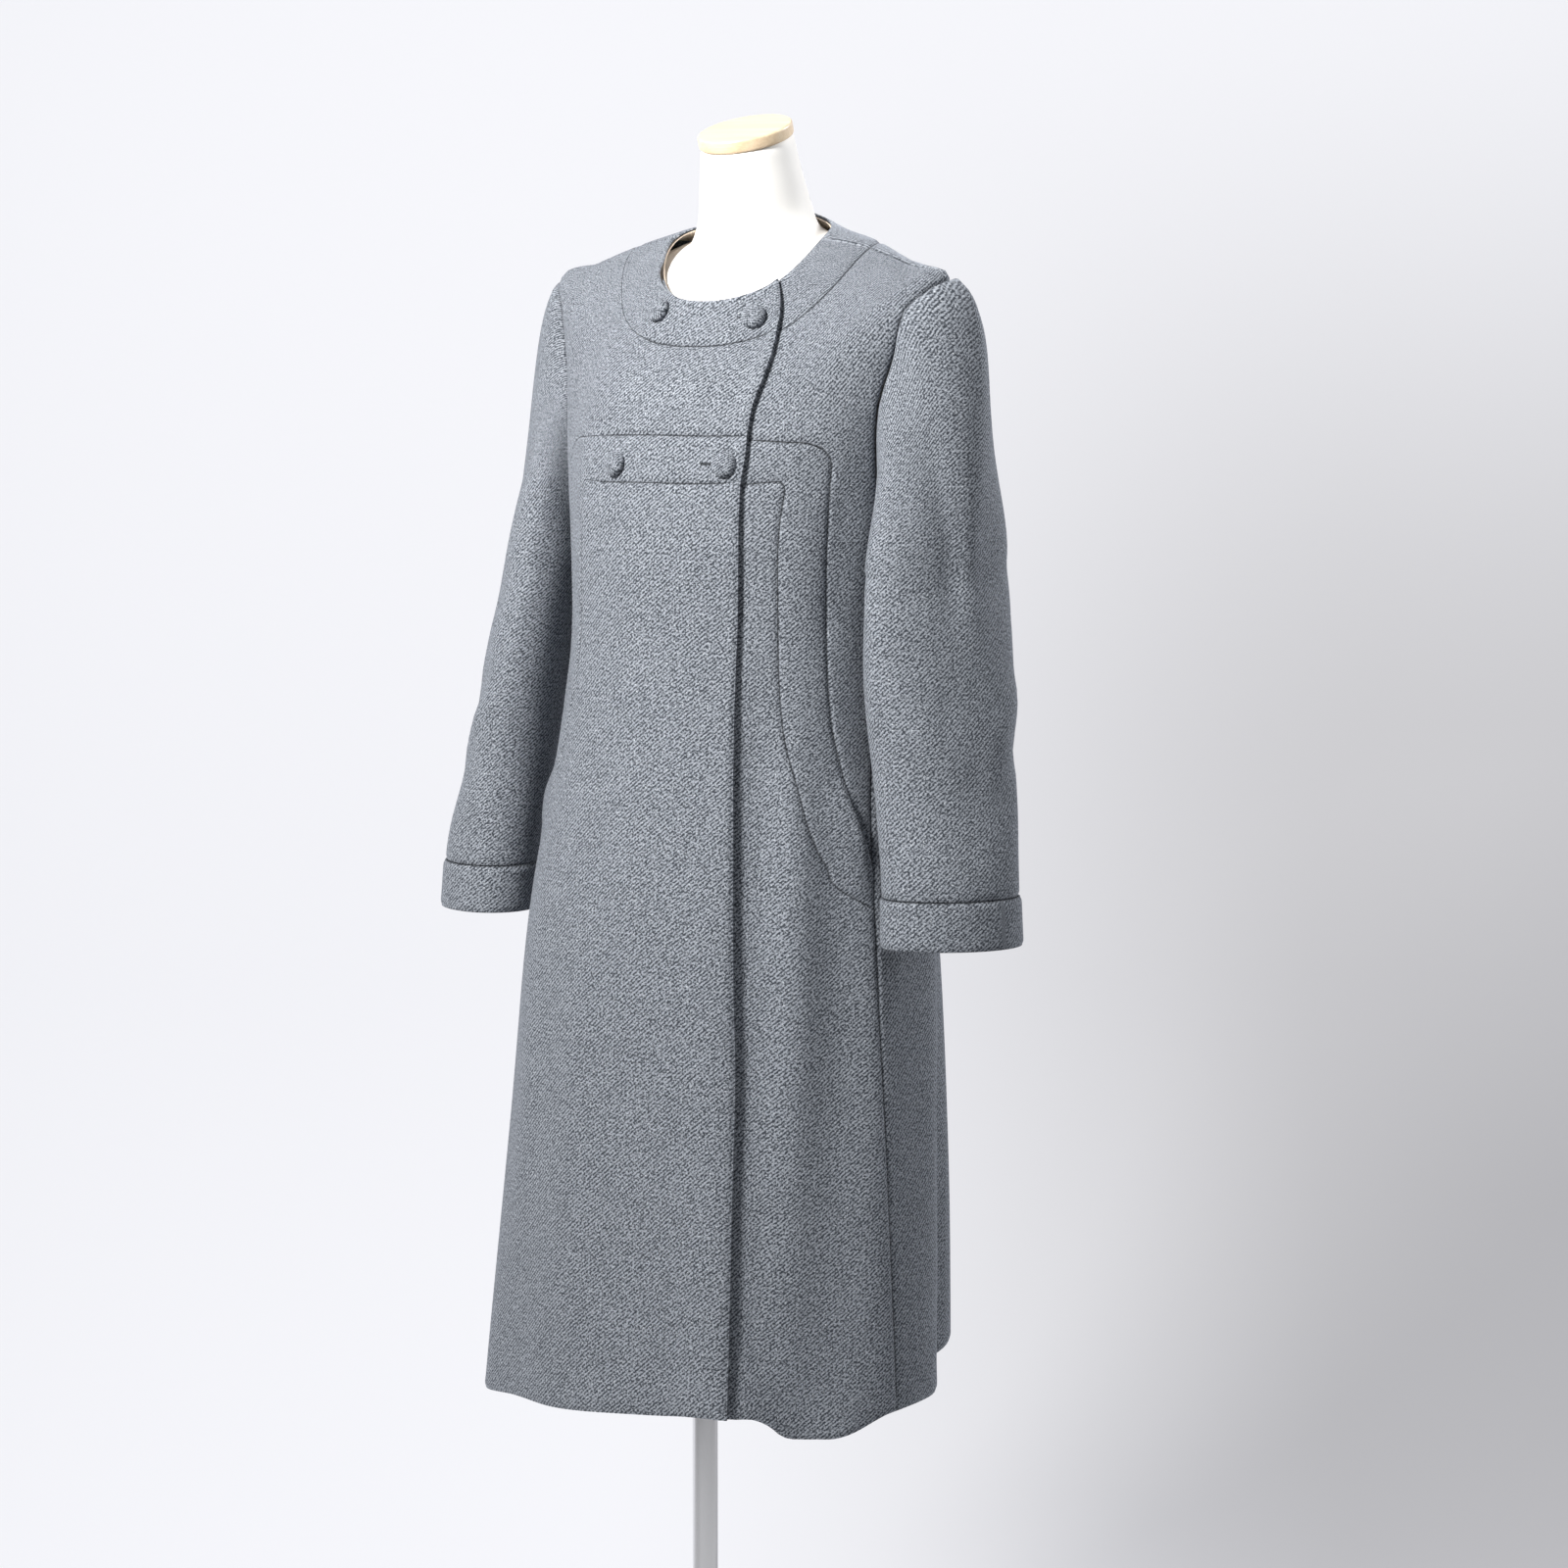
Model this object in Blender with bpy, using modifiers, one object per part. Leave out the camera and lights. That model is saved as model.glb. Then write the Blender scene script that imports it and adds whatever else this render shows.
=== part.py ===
"""Collarless wool coat on a limbless dress form with a round-based pole stand.

Units are metres, +Z is up, the coat's front faces -Y and the wearer's left side is +X. The origin is on
the floor at the pole's axis. Every cloth piece is a wall of even thickness on one lofted coat surface.
A place on that surface is (angle, level): the angle runs round the body in degrees, 0 at the centre front
and +90 at the wearer's left, and the level is the height that the ring through the place has in front.
"""

import math

import bmesh
import bpy
import numpy as np
from mathutils import Vector
from mathutils.geometry import delaunay_2d_cdt

# ---------------------------------------------------------------- driving sizes
CLOTH = 0.0025  # thickness of the wool
SEAM_GAP = 0.0004  # between two sewn pieces, edge to edge
LAYER_GAP = 0.0018  # between the two fronts where they lap
MESH_ROUND = 0.022  # mesh spacing round the body
MESH_DOWN = 0.042  # mesh spacing down the body
MESH_NECK = 0.013  # mesh spacing of the neck band
EDGE_STEP = 0.013  # spacing of the points on a curved cut edge

NECKLINE = 1.316  # level of the neckline
NECK_SEAM = 1.277  # level of the seam under the neck band
UNDERARM = 1.118  # height of the armhole's lowest point
SHOULDER_TIP = 1.331  # height of the shoulder's end
SHOULDER_LEVEL = 1.215  # and the level of the ring that passes through it
BAND_TOP = 1.204  # height of the chest band's upper seam
BAND_WIDTH = 0.041
BAND_DIP = 0.006  # how far the chest band drops from the centre to its corner
POCKET_TOP = 0.925  # height where the pocket mouth begins
POCKET_END = 0.851  # height of the band's upper seam at the side
ROUND_SCALE = 0.150  # metres round the body per radian, near enough to lay the cloth out flat
FACING_DEPTH = 0.024  # how far the facing reaches down inside the neckline
FACING = 0.0010  # its thickness
FACING_INSET = CLOTH + 0.0014  # from the coat's outer face to the facing
LIP_STAND = 0.007  # how far the pocket's lip stands open
EDGE_STAND = 0.003  # how far the lapping front edge stands off lower down

BUTTON_RADIUS = 0.0110
BUTTON_EDGE = 0.0028  # height of its side
BUTTON_GAP = 0.0010  # from the cloth to its back
BUTTON_DOME = ((0.0010, 0.0012), (0.0025, 0.0014), (0.0035, 0.0008))  # steps inward and up

POLE_RADIUS = 0.011
BASE_RADIUS = 0.165
BASE_HEIGHT = 0.012
CAP_RADIUS = 0.0412
CAP_HEIGHT = 0.0115
CAP_TILT = math.radians(18.5)  # the neck is cut so that the cap's front is lower
CAP_CENTRE = Vector((0.0, 0.0617, 1.4634))  # middle of the cap's top

# The coat's rings, neckline to hem. "level" is the ring's height in front and "back" behind, and "rise"
# lifts its two sides, the more to a peak the larger "peak" is. "wide" is the half width and "reach" what
# the shoulders add to it, "middle" the place of the section's middle along Y, "fore" and "aft" its depth
# from there to the front and the back.
COAT_RINGS = (
    # level, back,  rise,  peak, wide,  middle, fore,  aft,  reach
    (1.316, 1.396, 0.014, 5.0, 0.0770, 0.0640, 0.062, 0.066, 0.000),
    (1.277, 1.360, 0.043, 4.0, 0.1210, 0.0700, 0.086, 0.088, 0.000),
    (1.246, 1.306, 0.072, 4.0, 0.1480, 0.0705, 0.107, 0.103, 0.014),
    (1.215, 1.262, 0.0925, 4.0, 0.1560, 0.0710, 0.121, 0.116, 0.042),
    (1.195, 1.242, 0.0570, 4.0, 0.1660, 0.0700, 0.126, 0.122, 0.015),
    (1.150, 1.180, 0.035, 4.0, 0.1660, 0.0670, 0.132, 0.128, 0.000),
    (1.110, 1.120, 0.004, 3.0, 0.1610, 0.0640, 0.134, 0.130, 0.000),
    (1.040, 1.040, 0.000, 2.0, 0.1570, 0.0610, 0.134, 0.130, 0.000),
    (0.950, 0.950, 0.000, 2.0, 0.1620, 0.0540, 0.137, 0.137, 0.000),
    (0.800, 0.800, 0.000, 2.0, 0.1850, 0.0430, 0.150, 0.155, 0.000),
    (0.600, 0.600, 0.000, 2.0, 0.1990, 0.0320, 0.153, 0.170, 0.000),
    (0.340, 0.340, 0.000, 2.0, 0.2100, 0.0220, 0.160, 0.178, 0.000),
)
REACH_TURN = 12  # the larger, the closer to the shoulder line the reach stays

# Folds of the skirt: where each stands at the hem, how wide it is, how deep at the hem (outward is
# positive) and the height where it starts.
SKIRT_FOLDS = (
    # angle, width, depth,  start
    (30.0, 13.0, 0.016, 0.98),
    (46.0, 9.0, -0.009, 0.90),
    (64.0, 12.0, 0.006, 0.85),
    (97.0, 6.5, 0.002, 1.00),
    (111.0, 7.5, -0.022, 1.04),
    (128.0, 8.0, 0.004, 1.02),
    (154.0, 12.0, -0.012, 0.95),
    (180.0, 13.0, 0.012, 0.95),
    (-152.0, 12.0, -0.010, 0.95),
    (-126.0, 12.0, 0.016, 1.00),
    (-100.0, 11.0, -0.008, 0.90),
    (-62.0, 18.0, 0.012, 0.95),
    (-30.0, 14.0, -0.004, 0.80),
)

# The hem's height round the body.
HEM = (
    # angle, height
    (-180.0, 0.425),
    (-120.0, 0.396),
    (-75.0, 0.365),
    (-56.0, 0.369),
    (-38.0, 0.376),
    (-20.0, 0.378),
    (0.0, 0.384),
    (12.0, 0.387),
    (24.0, 0.391),
    (33.0, 0.390),
    (38.0, 0.388),
    (44.0, 0.3725),
    (51.0, 0.3705),
    (58.0, 0.371),
    (65.0, 0.378),
    (72.0, 0.386),
    (80.0, 0.389),
    (98.0, 0.394),
    (125.0, 0.421),
    (180.0, 0.425),
)

# The armhole seen from the front: how far it stands from the centre at each height.
ARMHOLE_FRONT = (
    # height, x
    (1.331, 0.1980),
    (1.312, 0.1795),
    (1.290, 0.1738),
    (1.270, 0.1695),
    (1.254, 0.1652),
    (1.240, 0.1620),
    (1.217, 0.1592),
    (1.189, 0.1578),
    (1.160, 0.1572),
    (1.140, 0.1570),
    (1.127, 0.1585),
)
ARMHOLE_BACK = (
    (1.331, 0.1980),
    (1.312, 0.1810),
    (1.285, 0.1730),
    (1.250, 0.1650),
    (1.205, 0.1600),
    (1.172, 0.1570),
    (1.145, 0.1560),
    (1.127, 0.1580),
)

# The side seam's angle and the front edge's distance from the centre, at each height.
SIDE_SEAM = (
    # height, angle
    (1.118, 88.0),
    (1.040, 84.0),
    (0.950, 77.0),
    (0.850, 73.0),
    (0.760, 72.0),
    (0.600, 74.0),
    (0.340, 78.0),
)
FRONT_EDGE = (
    # height, x
    (1.340, 0.0500),
    (1.310, 0.0625),
    (1.285, 0.0735),
    (1.240, 0.0780),
    (1.190, 0.0742),
    (1.100, 0.0748),
    (1.000, 0.0752),
    (0.920, 0.0795),
    (0.860, 0.0857),
    (0.800, 0.0910),
    (0.740, 0.0950),
    (0.680, 0.0985),
    (0.600, 0.1000),
    (0.500, 0.1020),
    (0.340, 0.1050),
)

# The band's outer seam down the front: its distance from the centre at each height. Its inner seam runs
# a band's width nearer the centre.
BAND_OUTER = (
    # height, x
    (1.186, 0.1365),
    (1.140, 0.1345),
    (1.090, 0.1330),
    (1.000, 0.1350),
    (0.960, 0.1400),
    (0.920, 0.1490),
    (0.885, 0.1580),
    (0.862, 0.1665),
)
HEM_AT_SIDE = 0.3885
HEM_IN_FRONT = 0.3910
CORNER = 0.016  # radius of the band's outer corner
INNER_CORNER = 0.012  # and how far from its inner corner the seam starts to turn
LAP_SHIFT = 0.010  # how far the lapping front sits over towards the wearer's left

# Sleeve rings below the armhole: the section's centre, its long and short half axes, and the turn of the
# long axis from the body's sideways direction.
SLEEVE_RINGS = (
    # height, x,     y,      long,   short,  turn
    (1.085, 0.2010, 0.0540, 0.0735, 0.0365, 73.0),
    (1.000, 0.2128, 0.0386, 0.0715, 0.0400, 66.0),
    (0.905, 0.2270, 0.0280, 0.0625, 0.0410, 58.0),
    (0.850, 0.2360, 0.0190, 0.0590, 0.0430, 52.0),
    (0.783, 0.2410, 0.0150, 0.0600, 0.0430, 50.0),
)
CUFF_TOP = 0.824
CUFF_PROUD = 0.0016  # how far the cuff stands out from the sleeve
CAP_ROWS = 6  # mesh rows from the armhole to the first ring, and from there to the cuff
SLEEVE_ROWS = 7
SLEEVE_SEAM = 112.0  # angle from the sleeve's outer middle to its two seams
CAP_EASE = 0.150  # length of the sleeve cap's curve off the armhole

# Rings of the torso and neck, in the coat rings' terms. The first is the slanted cut under the cap.
NECK_RADIUS = 0.0395
CAP_AXIS = Vector((0.0, -math.sin(CAP_TILT), math.cos(CAP_TILT)))
CAP_SEAT = CAP_CENTRE - CAP_AXIS * (CAP_HEIGHT + 0.0004)
SLANT = NECK_RADIUS * math.tan(CAP_TILT)
TORSO_RINGS = (
    (CAP_SEAT.z - SLANT, CAP_SEAT.z + SLANT, 0.0, 2.0, NECK_RADIUS, CAP_SEAT.y, NECK_RADIUS, NECK_RADIUS),
    (1.407, 1.434, 0.000, 2.0, 0.0440, 0.0715, 0.0440, 0.0430),
    (1.372, 1.409, 0.000, 2.0, 0.0495, 0.0780, 0.0500, 0.0450),
    (1.336, 1.388, 0.004, 2.0, 0.0610, 0.0740, 0.0560, 0.0520),
    (1.282, 1.366, 0.024, 2.4, 0.1020, 0.0690, 0.0720, 0.0680),
    (1.240, 1.325, 0.040, 3.0, 0.1340, 0.0690, 0.0880, 0.0870),
    (1.205, 1.280, 0.044, 4.0, 0.1500, 0.0690, 0.1020, 0.1000),
    (1.160, 1.200, 0.016, 4.0, 0.1500, 0.0670, 0.1110, 0.1060),
    (1.110, 1.115, 0.003, 3.0, 0.1460, 0.0640, 0.1140, 0.1060),
    (1.040, 1.040, 0.000, 2.0, 0.1320, 0.0600, 0.0980, 0.0920),
    (0.970, 0.970, 0.000, 2.0, 0.1300, 0.0560, 0.0940, 0.0960),
    (0.880, 0.880, 0.000, 2.0, 0.1480, 0.0500, 0.1020, 0.1150),
    (0.800, 0.800, 0.000, 2.0, 0.1560, 0.0440, 0.1060, 0.1200),
    (0.765, 0.765, 0.000, 2.0, 0.1480, 0.0420, 0.0980, 0.1120),
)

BUTTONS = (
    # name, x, height
    ("button_upper_right", -0.0437, 1.3060),
    ("button_upper_left", 0.0520, 1.3010),
    ("button_lower_right", -0.0480, 1.1790),
    ("button_lower_left", 0.0592, 1.1805),
)


# ---------------------------------------------------------------- curves through tables
def smooth(table, key, column):
    """A cubic through a table's column, keyed by its first column, at the given values of the key."""
    rows = sorted(table)
    x = np.array([r[0] for r in rows])
    y = np.array([r[column] for r in rows])
    slope = np.gradient(y, x)
    key = np.clip(np.asarray(key, float), x[0], x[-1])
    i = np.clip(np.searchsorted(x, key) - 1, 0, len(x) - 2)
    step = x[i + 1] - x[i]
    t = (key - x[i]) / step
    return (
        (2 * t**3 - 3 * t**2 + 1) * y[i]
        + (t**3 - 2 * t**2 + t) * step * slope[i]
        + (3 * t**2 - 2 * t**3) * y[i + 1]
        + (t**3 - t**2) * step * slope[i + 1]
    )


def ease(t):
    t = np.clip(t, 0.0, 1.0)
    return t * t * (3 - 2 * t)


# ---------------------------------------------------------------- the lofted surfaces
def loft(rings, angle, level, folds=()):
    """Points of a surface through rings, at angles in degrees and levels in metres."""
    angle, level = np.broadcast_arrays(np.asarray(angle, float), np.asarray(level, float))
    back, rise, peak, wide, middle, fore, aft = (smooth(rings, level, c) for c in range(1, 8))
    turn = np.radians(angle)
    sine, cosine = np.sin(turn), np.cos(turn)
    depth = np.where(cosine > 0, fore, aft)
    out = np.zeros_like(level)
    for at, width, fold, start in folds:
        away = (angle - at + 180.0) % 360.0 - 180.0
        foot = (start - level) / (start - 0.36)
        out = out + fold * np.exp(-((away / width) ** 2)) * ease(foot) * np.clip(foot, 0.0, 1.2)
    if len(rings[0]) > 8:
        wide = wide + smooth(rings, level, 8) * np.abs(sine) ** (REACH_TURN - 1)
    x = (wide + out) * sine
    y = middle - (depth + out) * cosine
    z = level * (1 + cosine) / 2 + back * (1 - cosine) / 2 + rise * np.abs(sine) ** peak
    return np.stack([x, y, z], axis=-1)


def coat(angle, level):
    return loft(COAT_RINGS, angle, level, SKIRT_FOLDS)


def normals(surface, angle, level):
    """Outward unit normals of a surface of (angle, level), by central differences."""
    round_step, down_step = 0.4, 0.0008
    along = surface(angle + round_step, level) - surface(angle - round_step, level)
    up = surface(angle, level + down_step) - surface(angle, level - down_step)
    n = np.cross(along, up)
    return n / np.linalg.norm(n, axis=-1, keepdims=True)


def place(x, z, side=1, behind=False):
    """(angle, level) of the coat's point at distance x from the centre, at height z."""
    level = z
    sine = 0.5
    for _ in range(60):
        wide = smooth(COAT_RINGS, level, 4) + smooth(COAT_RINGS, level, 8) * sine ** (REACH_TURN - 1)
        sine = min(0.9999, 0.5 * sine + 0.5 * x / wide)
        angle = math.degrees(math.asin(sine))
        if behind:
            angle = 180.0 - angle
        error = coat(angle, level)[2] - z
        level = min(NECKLINE, level - 0.5 * error)
    return side * angle, float(level)


def at_angle(angle, z):
    """(angle, level) of the coat's point at an angle and a height."""
    level = z
    for _ in range(40):
        level = min(NECKLINE, level - 0.5 * (coat(angle, level)[2] - z))
    return float(angle), float(level)


# ---------------------------------------------------------------- cut edges, as lists of (angle, level)
def steps(first, last, step=EDGE_STEP):
    return np.linspace(first, last, max(2, int(abs(last - first) / step) + 1))


def hem(first, last):
    """The hem from one angle to another."""
    count = max(2, int(abs(last - first) / 4.0) + 1)
    return [at_angle(a, float(smooth(HEM, (a + 180.0) % 360.0 - 180.0, 1))) for a in np.linspace(first, last, count)]


def edge_angle(level):
    """How far past the centre a front's free edge lies, in degrees."""
    return np.degrees(np.arcsin(smooth(FRONT_EDGE, level, 1) / smooth(COAT_RINGS, level, 4)))


def front_edge(side, high, low):
    """The front's free edge from one level down to another."""
    return [(-side * float(edge_angle(level)), level) for level in steps(high, low, 0.03)]


def side_seam(side, low, high):
    return [at_angle(side * float(smooth(SIDE_SEAM, z, 1)), z) for z in steps(low, high, 0.03)]


def armhole(side, behind=False):
    """From the underarm up to the shoulder's tip."""
    table = ARMHOLE_BACK if behind else ARMHOLE_FRONT
    low = at_angle(side * float(smooth(SIDE_SEAM, UNDERARM, 1)), UNDERARM)
    rows = [place(float(smooth(table, z, 1)), z, side, behind) for z in steps(1.127, SHOULDER_TIP - 0.006)]
    return [low, *rows, shoulder_tip(side)]


def shoulder_tip(side):
    return side * 90.0, SHOULDER_LEVEL


def shoulder_seam(side):
    """From the tip in to the neck band's seam."""
    return [(side * 90.0, level) for level in steps(SHOULDER_LEVEL, NECK_SEAM)]


def ring_edge(level, first, last, step=5.0):
    return [(a, level) for a in np.linspace(first, last, max(2, int(abs(last - first) / step) + 1))]


def band_place(x, z):
    """A place at x from the centre, on this front's own side where x is positive, at height z."""
    return place(abs(x), z, 1 if x >= 0 else -1)


def band_outer(shift):
    """The band's outer seam: from the front edge across the chest, round the corner and down to the side.
    Like all of a front's edges it is given for the wearer's left front; shift moves it to the centre."""
    corner_low = BAND_TOP - BAND_DIP - CORNER
    far = float(smooth(BAND_OUTER, corner_low, 1)) - shift
    seam = []
    for x in np.linspace(-float(smooth(FRONT_EDGE, BAND_TOP, 1)), far - CORNER, 14):
        seam.append(band_place(x, BAND_TOP - BAND_DIP * (max(0.0, x) / far) ** 2))
    seam[0] = (-float(edge_angle(seam[0][1])), seam[0][1])
    for turn in (22.5, 45.0, 67.5):
        across, down = math.sin(math.radians(turn)), 1 - math.cos(math.radians(turn))
        seam.append(band_place(far - CORNER + CORNER * across, BAND_TOP - BAND_DIP - CORNER * down))
    low = BAND_OUTER[-1][0]
    for z in steps(corner_low, low):
        kept = ease((z - low) / 0.2)
        seam.append(band_place(float(smooth(BAND_OUTER, z, 1)) - shift * kept, z))
    start = seam[-1][0]
    foot, end = start + 1.2, float(smooth(SIDE_SEAM, POCKET_END, 1))
    for t in (0.25, 0.5, 0.75, 1.0):
        angle = (1 - t) ** 2 * start + 2 * t * (1 - t) * foot + t * t * end
        seam.append((angle, low + (POCKET_END - low) * (1 - (1 - t) ** 2)))
    return seam


def lengths(angle, level):
    """Metres on the cloth for one degree round and for one metre of level, at a place."""
    around = np.linalg.norm(coat(angle + 0.5, level) - coat(angle - 0.5, level), axis=-1)
    down = np.linalg.norm(coat(angle, level + 0.001) - coat(angle, level - 0.001), axis=-1) / 0.002
    return np.stack([around, down], axis=-1)


def band_inner(outer):
    """The band's inner seam, one band's width inside the outer one."""
    seam = np.array(outer)
    scale = lengths(seam[:, 0], seam[:, 1])
    run = np.gradient(seam, axis=0) * scale
    run /= np.linalg.norm(run, axis=1, keepdims=True)
    inner = seam + BAND_WIDTH * np.stack([run[:, 1], -run[:, 0]], axis=1) / scale
    clear = []
    for p in inner:
        gap = np.linalg.norm((seam - p) * (scale + lengths(*p)) / 2, axis=1).min()
        clear.append(gap > 0.97 * BAND_WIDTH)
    low = POCKET_END - BAND_WIDTH
    last = float(smooth(SIDE_SEAM, low, 1))
    kept = [tuple(p) for p in inner[clear] if p[0] < last - 1.0]
    kept[0] = (-float(edge_angle(kept[0][1])), kept[0][1])
    return [*turned(kept), (last, low)]


def turned(seam):
    """A seam with its one sharp corner, which its points may cut off, rounded."""
    scale = np.array([math.radians(1) * ROUND_SCALE, 1.0])
    points = np.array(seam) * scale
    run = np.diff(points, axis=0)
    run /= np.linalg.norm(run, axis=1, keepdims=True)
    straight = (run[:-2] * run[2:]).sum(axis=1)
    straight[points[1:-2, 1] < BAND_TOP - 3 * BAND_WIDTH] = 1.0
    i = 1 + int(straight.argmin())
    before, after = run[i - 1], run[i + 1]
    gap = points[i + 1] - points[i]
    reach = (gap[0] * after[1] - gap[1] * after[0]) / (before[0] * after[1] - before[1] * after[0])
    corner = points[i] + before * reach
    start, end = corner - before * INNER_CORNER, corner + after * INNER_CORNER
    bend = [(1 - t) ** 2 * start + 2 * t * (1 - t) * corner + t * t * end for t in (0.0, 0.25, 0.5, 0.75, 1.0)]
    first = [p for p in points[: i + 1] if (corner - p) @ before > 1.3 * INNER_CORNER]
    rest = []
    for p in points[i + 1 :]:
        if (p - corner) @ after > 1.3 * INNER_CORNER and (not rest or p[1] < rest[-1][1] - 0.001):
            rest.append(p)
    return [tuple(p / scale) for p in (*first, *bend, *rest)]


# ---------------------------------------------------------------- how far each layer stands off the coat
def flat(angle, level):
    return np.zeros_like(level)


def upper_front(angle, level):
    """The wearer's right front lies on the left one where they lap, and its free edge stands off lower down."""
    edge = edge_angle(level)
    on_top = (CLOTH + LAYER_GAP) * ease((angle + edge + 22.0) / 18.0)
    stand = EDGE_STAND * ease((angle - edge + 14.0) / 14.0) * ease((1.15 - level) / 0.5)
    return on_top + stand


def lip(seam, angle, level):
    """The band's edge, next to its outer seam, stands open at the pocket mouth."""
    falling = np.array([(p[1], p[0]) for p in seam if p[1] < BAND_TOP - 0.05])[::-1]
    outer = np.interp(level, falling[:, 0], falling[:, 1])
    near = np.exp(-(((outer - angle) / 7.0) ** 2))
    mouth = ease((POCKET_TOP - level) / 0.040) * ease((level - POCKET_END + 0.035) / 0.035)
    closed = ease((falling[0, 1] - angle) / 5.0)
    return LIP_STAND * near * mouth * closed


def with_lip(side, base, seam):
    return lambda angle, level: base(angle, level) + lip(seam, side * angle, level)


def bag_depth(angle, level):
    return np.full_like(level, -CLOTH - 0.0012)


# ---------------------------------------------------------------- solids
def material(name, colour, roughness, metallic=0.0):
    made = bpy.data.materials.get(name) or bpy.data.materials.new(name)
    made.use_nodes = True
    shader = made.node_tree.nodes["Principled BSDF"]
    shader.inputs["Base Color"].default_value = (*colour, 1.0)
    shader.inputs["Roughness"].default_value = roughness
    shader.inputs["Metallic"].default_value = metallic
    return made


def add_object(name, mesh, finish):
    piece = bpy.data.objects.new(name, mesh)
    if not mesh.materials:
        mesh.materials.append(finish)
    bpy.data.collections[COLLECTION].objects.link(piece)
    return piece


def add_mesh(name, points, faces, finish):
    mesh = bpy.data.meshes.new(name)
    mesh.from_pydata([tuple(p) for p in points], [], faces)
    mesh.validate()
    for polygon in mesh.polygons:
        polygon.use_smooth = True
    mesh.set_sharp_from_angle(angle=math.radians(50))
    return add_object(name, mesh, finish)


def inset(outline, distance):
    """A closed outline, counterclockwise, moved inward by a distance."""
    before = outline - np.roll(outline, 1, axis=0)
    after = np.roll(outline, -1, axis=0) - outline
    sides = []
    for run in (before, after):
        run = run / np.linalg.norm(run, axis=1, keepdims=True)
        sides.append(np.stack([-run[:, 1], run[:, 0]], axis=1))
    bisector = sides[0] + sides[1]
    return outline + distance * 2 * bisector / np.maximum(0.6, (bisector**2).sum(1, keepdims=True))


def inside(points, outline, margin):
    """Which points lie in a closed outline, and at least a margin from its edge."""
    x, y = points[:, :1], points[:, 1:]
    a, b = outline, np.roll(outline, -1, axis=0)
    crosses = (a[:, 1] > y) != (b[:, 1] > y)
    with np.errstate(divide="ignore", invalid="ignore"):
        at = a[:, 0] + (y - a[:, 1]) * (b[:, 0] - a[:, 0]) / (b[:, 1] - a[:, 1])
    within = (crosses & (x < at)).sum(1) % 2 == 1
    run = b - a
    share = ((x - a[:, 0]) * run[:, 0] + (y - a[:, 1]) * run[:, 1]) / (run**2).sum(1)
    share = np.clip(share, 0, 1)
    gap = np.hypot(x - a[:, 0] - share * run[:, 0], y - a[:, 1] - share * run[:, 1]).min(1)
    return within & (gap > margin)


def lay_out(outline, spacing):
    """Triangles that fill a cut piece, as its (angle, level) places and the triangles between them."""
    scale = np.array([math.radians(1) * ROUND_SCALE, 1.0])
    edge = np.array(outline) * scale
    area = (edge[:, 0] * np.roll(edge[:, 1], -1) - np.roll(edge[:, 0], -1) * edge[:, 1]).sum()
    edge = inset(edge if area > 0 else edge[::-1], SEAM_GAP / 2)
    low, high = edge.min(0), edge.max(0)
    across = np.arange(low[0] + spacing[0] / 2, high[0], spacing[0])
    down = np.arange(low[1] + spacing[1] / 2, high[1], spacing[1])
    grid = np.stack(np.meshgrid(across, down), axis=-1).reshape(-1, 2)
    grid = grid[inside(grid, edge, 0.5 * spacing[0])]
    count = len(edge)
    sides = [(i, (i + 1) % count) for i in range(count)]
    points = [Vector(p) for p in np.vstack([edge, grid])]
    filled = delaunay_2d_cdt(points, sides, [list(range(count))], 1, 1e-7)
    places = np.array([tuple(p) for p in filled[0]]) / scale
    return places, [list(f) for f in filled[2]]


def wall(name, outline, finish, stand=flat, thickness=CLOTH, spacing=(MESH_ROUND, MESH_DOWN)):
    """A cut piece as a wall: its outer face on the coat's surface, stand above it, its inner face within."""
    places, triangles = lay_out(outline, spacing)
    angle, level = places[:, 0], places[:, 1]
    base, normal = coat(angle, level), normals(coat, angle, level)
    off = stand(angle, level)[:, None]
    return close_wall(name, base + normal * off, base + normal * (off - thickness), triangles, finish)


def close_wall(name, outer, inner, faces, finish):
    """A closed solid between two like-numbered faces."""
    count = len(outer)
    seen = {}
    for face in faces:
        for i, start in enumerate(face):
            seen[(start, face[(i + 1) % len(face)])] = True
    rim = [(a, b) for a, b in seen if (b, a) not in seen]
    under = [[i + count for i in reversed(face)] for face in faces]
    sides = [[b, a, a + count, b + count] for a, b in rim]
    return add_mesh(name, np.vstack([outer, inner]), [*faces, *under, *sides], finish)


# ---------------------------------------------------------------- the coat's body
def sided(side, places):
    """Places given for the wearer's left, turned to the side wanted."""
    return [(side * angle, level) for angle, level in places]


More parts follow.
